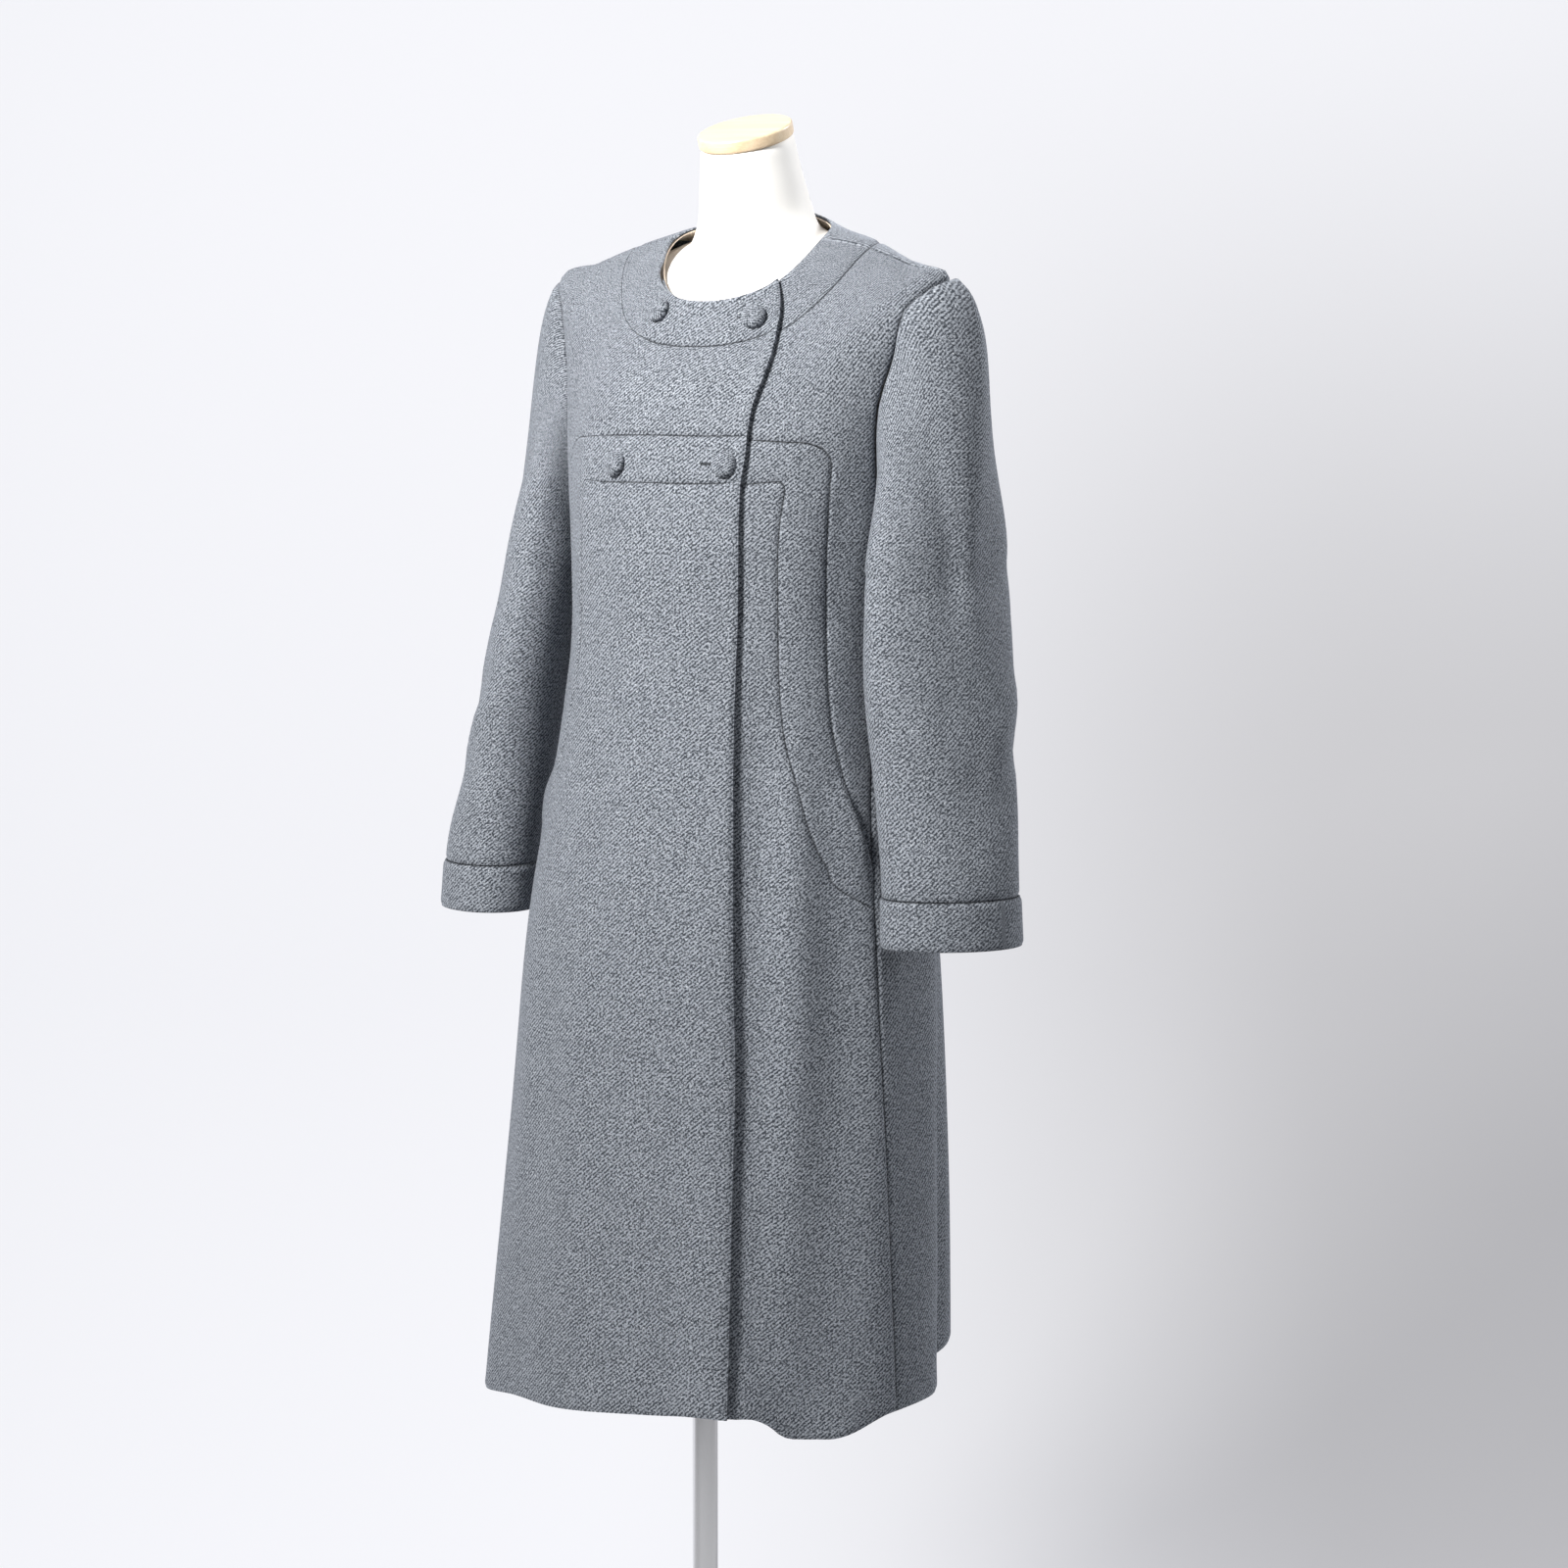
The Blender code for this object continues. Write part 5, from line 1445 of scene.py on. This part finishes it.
def near_ends(first, last, count, margins):
    """Even steps from first to last, with closer ones at the given distances from both ends."""
    middle = np.linspace(first, last, count)
    widest = max(margins)
    middle = middle[(middle > first + widest * 1.4) & (middle < last - widest * 1.4)]
    low = [first + margin for margin in margins]
    return np.array([first, *low, *middle, *[last - margin for margin in margins[::-1]], last])


def cloth_sleeve(node, side, ring, turns, runs, gaps, proud=0.0, closed=False):
    """A sleeve piece as a shell over a grid of turns and runs. gaps gives the distance to its edges."""
    turn, run = (grid.ravel() for grid in np.meshgrid(turns, runs))
    base, normal = sleeve_places(side, ring, turn, run)
    lift = proud + sleeve_detail(side, turn, run) + sleeve_fullness(side, turn, run)
    edges = gaps(turn, run)
    rolled = roll_in(edges)
    outer = base + normal * (lift + rolled)[:, None]
    inner = base + normal * (lift - CLOTH)[:, None]
    faces = tube_faces(len(turns), len(runs)) if closed else strip_faces(len(turns), len(runs))
    if side > 0:
        faces = [face[::-1] for face in faces]
    middle, first_ring = np.abs(signed(turns)).argmin(), np.abs(runs - 1.0).argmin()
    places = grid_lengths(base.reshape(len(runs), len(turns), 3), side, middle, first_ring)
    piece = shell(f"{node}_cloth", outer, inner, faces, "wool", places, edges)
    return dress(piece, node, "wool")


def grid_lengths(points, side, middle, level_row):
    """Flat places of a grid of points: metres round from its middle column, and up from a level row."""
    across, down = running(points, 1), running(points)
    across = (across - across[:, middle : middle + 1]) * -side
    down = down - down[level_row]
    return np.stack([across, -down], -1).reshape(-1, 2)


def sleeve_fullness(side, turn, run):
    """The wearer's left sleeve head stands fuller than the pattern's cap, and the right one flatter."""
    wide = signed(turn)
    amount, centre = FULLNESS[side]
    rise = np.sin(np.pi * np.clip(run, 0, 1) ** 0.5)
    begun = ease(run / 0.05 + 0.35)
    head = HEAD_RISE * np.exp(-((wide / HEAD_TURN) ** 2)) * begun * np.exp(-((run / HEAD_RUN) ** 2))
    return amount * np.exp(-(((wide - centre) / FULL_TURN) ** 2)) * rise + head


def make_sleeves():
    first, low = SLEEVE_RINGS[0][0], SLEEVE_RINGS[-1][0]
    span = first - low
    cuff_run = 1 + (first - CUFF_TOP) / span
    gap = SEAM_GAP / span
    body = cuff_run - gap
    runs = near_ends(0.002, body, SLEEVE_ROWS, (0.004, 0.010, 0.020))
    cuff_runs = near_ends(cuff_run + gap, 2.0, CUFF_ROWS, (0.0045, 0.010))
    cuff_turns = np.arange(0.0, 360.0, 5.0)
    parts = (("top", -SLEEVE_SEAM, SLEEVE_SEAM), ("under", SLEEVE_SEAM, 360.0 - SLEEVE_SEAM))
    rear_gap, front_gap = PIECE_GAPS

    def ends(turn, run):
        return np.minimum(run - cuff_runs[0], 2.0 - run) * span

    made = []
    for side, name in ((1, "left"), (-1, "right")):
        ring = armhole_ring(side)
        for part, start, end in parts:
            before, after = (rear_gap, front_gap) if start < 0 else (front_gap, rear_gap)
            start, end = start + before, end - after
            turns = near_ends(start, end, round((end - start) / SLEEVE_STEP), (1.2, 2.6, 4.6))

            def gaps(turn, run, start=start, end=end):
                rear, front = (turn - start, end - turn) if start < 0 else (end - turn, turn - start)
                # Distance to the seams, which drives both their roll and their painted shade.
                seams = np.minimum(rear * SLEEVE_DEGREE, front * SLEEVE_DEGREE + HIDDEN_SEAM)
                cap = run * (CAP_EASE * 0.7)
                foot = (body - run) * span
                return np.minimum(np.minimum(seams, cap), foot)

            made.append(cloth_sleeve(f"sleeve_{part}_{name}", side, ring, turns, runs, gaps))
        made.append(cloth_sleeve(f"cuff_{name}", side, ring, cuff_turns, cuff_runs, ends, CUFF_PROUD, True))
    return made


def strip_faces(across, rows):
    faces = []
    for row in range(rows - 1):
        for i in range(across - 1):
            a = row * across + i
            faces.append([a, a + across, a + across + 1, a + 1])
    return faces


# ---------------------------------------------------------------- buttons, form and stand
def make_buttons():
    """Buttons covered in the coat's wool, drawn over a domed mould with small pleats at the rim."""
    made = []
    for number, (name, x, height) in enumerate(BUTTONS):
        where = tuple(np.array([part]) for part in front_place(x, height))
        normal = Vector(normals(coat, *where)[0])
        off = float(thick_front(*where)[0]) + BUTTON_SEAT
        turn = normal.to_track_quat("Z", "Y").to_matrix().to_4x4()
        seat = Matrix.Translation(Vector(coat(*where)[0]) + normal * off) @ turn
        made.append(make_button(name, seat, number))
    return made


def make_button(name, seat, number):
    around, rows = BUTTON_MESH
    profile = [(BUTTON_RADIUS * r, BUTTON_HEIGHT * z) for r, z in BUTTON_PROFILE]
    run = np.linspace(0, len(profile) - 1, rows)
    radius = np.interp(run, range(len(profile)), [p[0] for p in profile])
    rise = np.interp(run, range(len(profile)), [p[1] for p in profile])
    turn = np.arange(around) * math.tau / around
    turn_grid, radius_grid = np.meshgrid(turn, radius)
    rise_grid = np.repeat(rise[:, None], around, axis=1)
    pleats = np.sin(turn_grid * 11 + number) * 0.5 + np.sin(turn_grid * 17 + 2 * number) * 0.5
    rim = np.exp(-(((radius_grid / BUTTON_RADIUS - 1.0) / PLEAT_REACH) ** 2))
    radius_grid = radius_grid + pleats * rim * PLEAT_HEIGHT
    points = np.stack([radius_grid * np.cos(turn_grid), radius_grid * np.sin(turn_grid), rise_grid], -1)
    points = points.reshape(-1, 3)
    lie = math.radians(BUTTON_GRAIN[number])
    places = points[:, :2] @ np.array([[math.cos(lie), -math.sin(lie)], [math.sin(lie), math.cos(lie)]])
    mesh = plain_mesh(name, points.tolist(), capped_faces(around, rows))
    mesh.transform(seat)
    lay_uv(mesh, places)
    return dress(finished(f"{name}_cover", mesh, "button", 60), name, "button")


def lathe(name, profile, finish, around=96, seat=Matrix()):
    """A turned piece: a profile of (radius, height) from its top to its underside."""
    mesh = bpy.data.meshes.new(name)
    made = bmesh.new()
    first = previous = None
    for radius, height in profile:
        row = [
            made.verts.new((radius * math.cos(a), radius * math.sin(a), height))
            for a in (math.tau * i / around for i in range(around))
        ]
        if previous:
            for i in range(around):
                j = (i + 1) % around
                made.faces.new((previous[i], row[i], row[j], previous[j]))
        first = first or row
        previous = row
    made.faces.new(first)
    made.faces.new(previous[::-1])
    made.to_mesh(mesh)
    made.free()
    mesh.transform(seat)
    return finished(name, mesh, finish, 40)


def rounded(radius, low, high, edge, steps=5):
    """The profile of a disc with rounded rims, top to underside."""
    turn = [math.radians(90 * i / steps) for i in range(steps + 1)]
    top = [(radius - edge + edge * math.sin(a), high - edge + edge * math.cos(a)) for a in turn]
    bottom = [(radius - edge + edge * math.cos(a), low + edge - edge * math.sin(a)) for a in turn]
    return [*top, *bottom]


def make_torso():
    """The form's body, its two rims drawn in a little."""
    around = TORSO_AROUND
    angles = np.arange(around) * 360.0 / around
    top, foot = TORSO_RINGS[0][0], TORSO_RINGS[-1][0]
    middle = np.arange(top - 0.008, foot + 0.006, -TORSO_STEP)
    levels = np.array([top, top - 0.0012, top - 0.0030, *middle, foot + 0.003, foot])
    angle, level = (grid.ravel() for grid in np.meshgrid(angles, levels))
    points = loft(TORSO_RINGS, angle, level)
    centre = np.array([0.0, CAP_SEAT.y, CAP_SEAT.z])
    rim = np.clip(1 - (top - level) / RIM_HEIGHTS[0], 0, 1)[:, None]
    points = points + (centre - points) * rim * RIM_SHARES[0]
    low_rim = np.clip(1 - (level - foot) / RIM_HEIGHTS[1], 0, 1)[:, None]
    points[:, :2] -= (points[:, :2] - np.array([0.0, TORSO_RINGS[-1][5]])) * low_rim * RIM_SHARES[1]
    mesh = plain_mesh("torso_cover", points.tolist(), capped_faces(around, len(levels)))
    return dress(finished("torso_cover", mesh, "cover", 45), "form_torso", "cover")


def make_form():
    """The smooth torso with its neck, and the turned wooden cap on the neck's slanted cut."""
    torso = make_torso()
    tilt = Matrix.Translation(CAP_CENTRE - CAP_AXIS * CAP_HEIGHT) @ Matrix.Rotation(CAP_TILT, 4, "X")
    cap = lathe("neck_cap", rounded(CAP_RADIUS, 0.0, CAP_HEIGHT, CAP_RIM), "wood", 128, tilt)
    return [torso, dress(cap, "form_cap", "wood")]


def make_stand():
    """The polished pole and its round base."""
    low, high = BASE_HEIGHT + FORM_GAP, TORSO_RINGS[-1][0] - FORM_GAP
    pole = lathe("pole", rounded(POLE_RADIUS, low, high, POLE_RIM), "chrome", 64)
    base = lathe("base", rounded(BASE_RADIUS, 0.0, BASE_HEIGHT, BASE_RIM), "base", 160)
    return [dress(pole, "stand_pole", "chrome"), dress(base, "stand_base", "base")]


# ---------------------------------------------------------------- buttonholes, stitched by Geometry Nodes
def make_stitches(name, length, count, thread):
    """A row of short whip stitches along X, made by nodes and turned into a plain mesh."""
    tree = bpy.data.node_groups.new(name, "GeometryNodeTree")
    tree.interface.new_socket("Count", in_out="INPUT", socket_type="NodeSocketInt")
    tree.interface.new_socket("Length", in_out="INPUT", socket_type="NodeSocketFloat")
    tree.interface.new_socket("Geometry", in_out="OUTPUT", socket_type="NodeSocketGeometry")

    def node(kind, settings=(), **inputs):
        made = tree.nodes.new(kind)
        for key, value in dict(settings).items():
            setattr(made, key, value)
        for key, value in inputs.items():
            plug = made.inputs[key.replace("_", " ")]
            if isinstance(value, bpy.types.NodeSocket):
                tree.links.new(value, plug)
            else:
                plug.default_value = value
        return made

    start = node("NodeGroupInput")
    ends = node("ShaderNodeCombineXYZ", X=start.outputs["Length"])
    row = node("GeometryNodeMeshLine", {"mode": "END_POINTS"}, Count=start.outputs["Count"])
    tree.links.new(ends.outputs[0], row.inputs["Offset"])
    stitch = node("GeometryNodeMeshCylinder", Vertices=10, Radius=thread, Depth=STITCH_LENGTH)
    lean = node("FunctionNodeRandomValue", {"data_type": "FLOAT"}, Seed=3)
    lean.inputs[2].default_value, lean.inputs[3].default_value = -STITCH_LEAN, STITCH_LEAN
    turn = node("ShaderNodeCombineXYZ", X=math.radians(90))
    tree.links.new(lean.outputs[1], turn.inputs["Z"])
    copies = node("GeometryNodeInstanceOnPoints", Points=row.outputs[0], Instance=stitch.outputs[0])
    tree.links.new(turn.outputs[0], copies.inputs["Rotation"])
    real = node("GeometryNodeRealizeInstances", Geometry=copies.outputs[0])
    # The thread takes the pocket's wool, whose darkness is painted shade.
    coloured = node("GeometryNodeSetMaterial", Geometry=real.outputs[0], Material=MATERIALS["pocket"])
    end = node("NodeGroupOutput")
    tree.links.new(coloured.outputs[0], end.inputs[0])

    holder = placed(name, bpy.data.meshes.new(name))
    modifier = holder.modifiers.new(name, "NODES")
    modifier.node_group = tree
    for item in tree.interface.items_tree:
        if item.in_out == "INPUT":
            modifier[item.identifier] = {"Count": count, "Length": length}[item.name]
    graph = bpy.context.evaluated_depsgraph_get()
    mesh = bpy.data.meshes.new_from_object(holder.evaluated_get(graph))
    bpy.data.objects.remove(holder)
    return mesh


def make_buttonholes():
    """The end of a buttonhole peeps out from under each of the two buttons near the lapping edge."""
    made = []
    for name, x, height, length in BUTTONHOLES:
        spots = []
        for across in (x, x - length):
            where = tuple(np.array([part]) for part in front_place(across, height))
            normal = normals(coat, *where)[0]
            lift = float(thick_front(*where)[0] + body_detail(*where)[0]) + STITCH_RADIUS * STITCH_RISE
            spots.append((Vector(coat(*where)[0] + normal * lift), Vector(normal)))
        (start, normal), (end, _) = spots
        x_axis = (end - start).normalized()
        y_axis = normal.cross(x_axis).normalized()
        turn = Matrix([x_axis, y_axis, x_axis.cross(y_axis)]).transposed().to_4x4()
        seat = Matrix.Translation(start) @ turn
        mesh = make_stitches(name, (end - start).length, round(length / STITCH_PITCH), STITCH_RADIUS)
        mesh.transform(seat)
        lay_uv(mesh, [(v.co.x, v.co.z) for v in mesh.vertices])
        piece = placed(name, mesh)
        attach(piece, "root")
        made.append(piece)
    return made


# ---------------------------------------------------------------- the studio
def make_backdrop(look):
    """Floor and wall in one sheet with a wide bend between them."""
    bend = BACKDROP_BEND
    profile = [(BACKDROP_FRONT, 0.0)]
    for i in range(BACKDROP_STEPS + 1):
        turn = math.radians(90 * i / BACKDROP_STEPS)
        profile.append((BACKDROP_BACK - bend + bend * math.sin(turn), bend - bend * math.cos(turn)))
    profile.append((BACKDROP_BACK, BACKDROP_TOP))
    across, ahead = view_axes()
    points, faces = [], []
    for depth, height in profile:
        for side in (-BACKDROP_HALF, BACKDROP_HALF):
            spot = across * side + ahead * depth
            points.append((spot.x, spot.y, height - FLOOR_GAP))
    for i in range(len(profile) - 1):
        a = 2 * i
        faces.append((a, a + 1, a + 3, a + 2))
    mesh = plain_mesh("backdrop", points, faces)
    mesh.polygons.foreach_set("use_smooth", [True] * len(faces))
    if mesh.polygons[0].normal.z < 0:
        mesh.flip_normals()
    mesh.materials.append(make_backdrop_look(look.backdrop, look.backdrop_painted_shadow))
    return placed("backdrop", mesh)


def view_axes():
    """Level unit vectors across the picture to its right, and into it."""
    turn = math.radians(VIEW_AZIMUTH)
    return Vector((math.cos(turn), math.sin(turn), 0)), Vector((-math.sin(turn), math.cos(turn), 0))


def make_camera():
    across, ahead = view_axes()
    camera = placed("camera", bpy.data.cameras.new("camera"))
    camera.data.sensor_width = SENSOR
    camera.data.lens = SENSOR * VIEW_FOCAL
    camera.location = across * VIEW_SHIFT - ahead * VIEW_DISTANCE + Vector((0, 0, VIEW_HEIGHT))
    drop = math.radians(VIEW_PITCH)
    look = ahead * math.cos(drop) - Vector((0, 0, math.sin(drop)))
    camera.rotation_euler = look.to_track_quat("-Z", "Y").to_euler()
    bpy.context.scene.camera = camera
    return camera


def make_light(name, across_by, ahead_by, height, size, power, colour=(1, 1, 1)):
    across, ahead = view_axes()
    data = bpy.data.lights.new(name, "AREA")
    data.shape, data.size, data.energy, data.color = "DISK", size, power, colour
    data.spread = LIGHT_SPREAD
    lamp = placed(name, data)
    lamp.location = across * across_by + ahead * ahead_by + Vector((0, 0, height))
    aim = Vector((0, 0, LIGHT_AIM)) - lamp.location
    lamp.rotation_euler = aim.to_track_quat("-Z", "Y").to_euler()
    return lamp


def make_stage(look):
    lights = [
        make_light("key", *KEY_PLACE, KEY_SIZE, look.key, KEY_COLOUR),
        make_light("fill", *FILL_PLACE, FILL_SIZE, look.fill, FILL_COLOUR),
        make_light("rim", *RIM_PLACE, RIM_SIZE, look.rim),
    ]
    make_backdrop(look)
    make_camera()
    world = bpy.data.worlds.new("studio")
    world.use_nodes = True
    air = world.node_tree.nodes["Background"]
    air.inputs["Color"].default_value = AIR_COLOUR
    air.inputs["Strength"].default_value = look.air
    bpy.context.scene.world = world
    bpy.context.scene.view_settings.view_transform = "Standard"


# ---------------------------------------------------------------- the add-on
class CoatLook(bpy.types.PropertyGroup):
    """How the coat's wool looks."""

    dark: FloatVectorProperty(
        name="Dark yarn",
        description="Colour of the dark fibres",
        subtype="COLOR",
        default=(0.030, 0.035, 0.044),
    )
    pale: FloatVectorProperty(
        name="Pale yarn",
        description="Colour of the pale fibres",
        subtype="COLOR",
        default=(0.27, 0.29, 0.325),
    )
    white: FloatVectorProperty(
        name="White flecks",
        description="Colour of the stray white fibres",
        subtype="COLOR",
        default=(0.62, 0.65, 0.69),
    )
    sheen: FloatProperty(name="Nap", description="Strength of the soft sheen", default=0.20, min=0, max=1)
    relief: FloatProperty(
        name="Relief",
        description="Height of the twill's ribs",
        default=0.00020,
        min=0,
        max=0.002,
        unit="LENGTH",
    )


class StudioLook(bpy.types.PropertyGroup):
    """The studio round the coat."""

    key: FloatProperty(name="Key light", description="Its power", default=50.0, min=0, unit="POWER")
    fill: FloatProperty(name="Fill light", description="Its power", default=5.5, min=0, unit="POWER")
    rim: FloatProperty(name="Light behind", description="Its power", default=14.0, min=0, unit="POWER")
    air: FloatProperty(name="Air", description="Strength of the light from all round", default=0.20, min=0)
    # The backdrop's painted glow, an emission standing in for its lighting.
    backdrop: FloatVectorProperty(
        name="Backdrop",
        description="Colour of its glow",
        subtype="COLOR",
        default=(0.66, 0.665, 0.70),
    )
    # The glow's colour inside the painted shadow of the coat.
    backdrop_painted_shadow: FloatVectorProperty(
        name="Dim backdrop",
        description="Colour of its glow on the dim side",
        subtype="COLOR",
        default=(0.385, 0.383, 0.40),
    )


def whole(made, count, what):
    """The operators' last line: an error unless every piece was made."""
    if len(made) != count or any(len(piece.data.polygons) == 0 for piece in made):
        raise RuntimeError(f"{what}: {len(made)} of {count} pieces were made")
    return {"FINISHED"}


class COAT_OT_cloths(bpy.types.Operator):
    """Make the materials"""

    bl_idname = "coat.materials"
    bl_label = "Materials"

    def execute(self, context):
        look = context.scene.coat_look
        MATERIALS.update(
            wool=make_wool("wool", look),
            button=make_wool("button_cloth", look, TWILL_PITCH * 0.72, sewn=False),
            lining=make_lining(),
            # The pocket's wool is painted very dark as shade; the buttonholes' thread takes it too.
            pocket=make_pocket_cloth(),
            cover=make_cover(),
            wood=make_wood(),
            chrome=make_chrome("pole_chrome", 0.78),
            base=make_chrome("base_chrome", 0.76),
        )
        return {"FINISHED"}


class COAT_OT_fronts(bpy.types.Operator):
    """Make both fronts: yokes, bands, skirts and pockets"""

    bl_idname = "coat.fronts"
    bl_label = "Fronts"

    def execute(self, context):
        return whole(make_fronts(), 8, "fronts")


class COAT_OT_back(bpy.types.Operator):
    """Make the back"""

    bl_idname = "coat.back"
    bl_label = "Back"

    def execute(self, context):
        return whole([make_back()], 1, "back")


class COAT_OT_neck(bpy.types.Operator):
    """Make the neck band and its facing"""

    bl_idname = "coat.neck"
    bl_label = "Neck band"

    def execute(self, context):
        return whole([*make_neck(), make_facing()], 4, "neck")


class COAT_OT_sleeves(bpy.types.Operator):
    """Make both sleeves with their cuffs"""

    bl_idname = "coat.sleeves"
    bl_label = "Sleeves"

    def execute(self, context):
        return whole(make_sleeves(), 6, "sleeves")


class COAT_OT_buttons(bpy.types.Operator):
    """Make the covered buttons"""

    bl_idname = "coat.buttons"
    bl_label = "Buttons"

    def execute(self, context):
        return whole(make_buttons(), len(BUTTONS), "buttons")


class COAT_OT_buttonholes(bpy.types.Operator):
    """Make the buttonholes' stitches"""

    bl_idname = "coat.buttonholes"
    bl_label = "Buttonholes"

    def execute(self, context):
        return whole(make_buttonholes(), len(BUTTONHOLES), "buttonholes")


class COAT_OT_form(bpy.types.Operator):
    """Make the torso form and its neck cap"""

    bl_idname = "coat.form"
    bl_label = "Form"

    def execute(self, context):
        return whole(make_form(), 2, "form")


class COAT_OT_stand(bpy.types.Operator):
    """Make the pole and the base"""

    bl_idname = "coat.stand"
    bl_label = "Stand"

    def execute(self, context):
        return whole(make_stand(), 2, "stand")


class COAT_OT_stage(bpy.types.Operator):
    """Make the backdrop, the lights and the camera"""

    bl_idname = "coat.stage"
    bl_label = "Stage"

    def execute(self, context):
        make_stage(context.scene.coat_studio)
        return {"FINISHED"}


STEPS = (
    COAT_OT_cloths,
    COAT_OT_fronts,
    COAT_OT_back,
    COAT_OT_neck,
    COAT_OT_sleeves,
    COAT_OT_buttons,
    COAT_OT_buttonholes,
    COAT_OT_form,
    COAT_OT_stand,
    COAT_OT_stage,
)


class COAT_PT_panel(bpy.types.Panel):
    """The coat's steps in the sidebar"""

    bl_idname = "COAT_PT_panel"
    bl_label = "Coat on form"
    bl_space_type = "VIEW_3D"
    bl_region_type = "UI"
    bl_category = "Coat"

    def draw(self, context):
        for group in (context.scene.coat_look, context.scene.coat_studio):
            for key in group.__annotations__:
                self.layout.prop(group, key)
        for step in STEPS:
            self.layout.operator(step.bl_idname)


CLASSES = (CoatLook, StudioLook, *STEPS, COAT_PT_panel)


def register():
    for kind in CLASSES:
        bpy.utils.register_class(kind)
    bpy.types.Scene.coat_look = PointerProperty(type=CoatLook)
    bpy.types.Scene.coat_studio = PointerProperty(type=StudioLook)


def unregister():
    del bpy.types.Scene.coat_studio
    del bpy.types.Scene.coat_look
    for kind in reversed(CLASSES):
        bpy.utils.unregister_class(kind)


def main():
    register()
    bpy.ops.coat.materials()
    bpy.ops.coat.fronts()
    bpy.ops.coat.back()
    bpy.ops.coat.neck()
    bpy.ops.coat.sleeves()
    bpy.ops.coat.buttons()
    bpy.ops.coat.buttonholes()
    bpy.ops.coat.form()
    bpy.ops.coat.stand()
    bpy.ops.coat.stage()


if __name__ == "__main__":
    main()
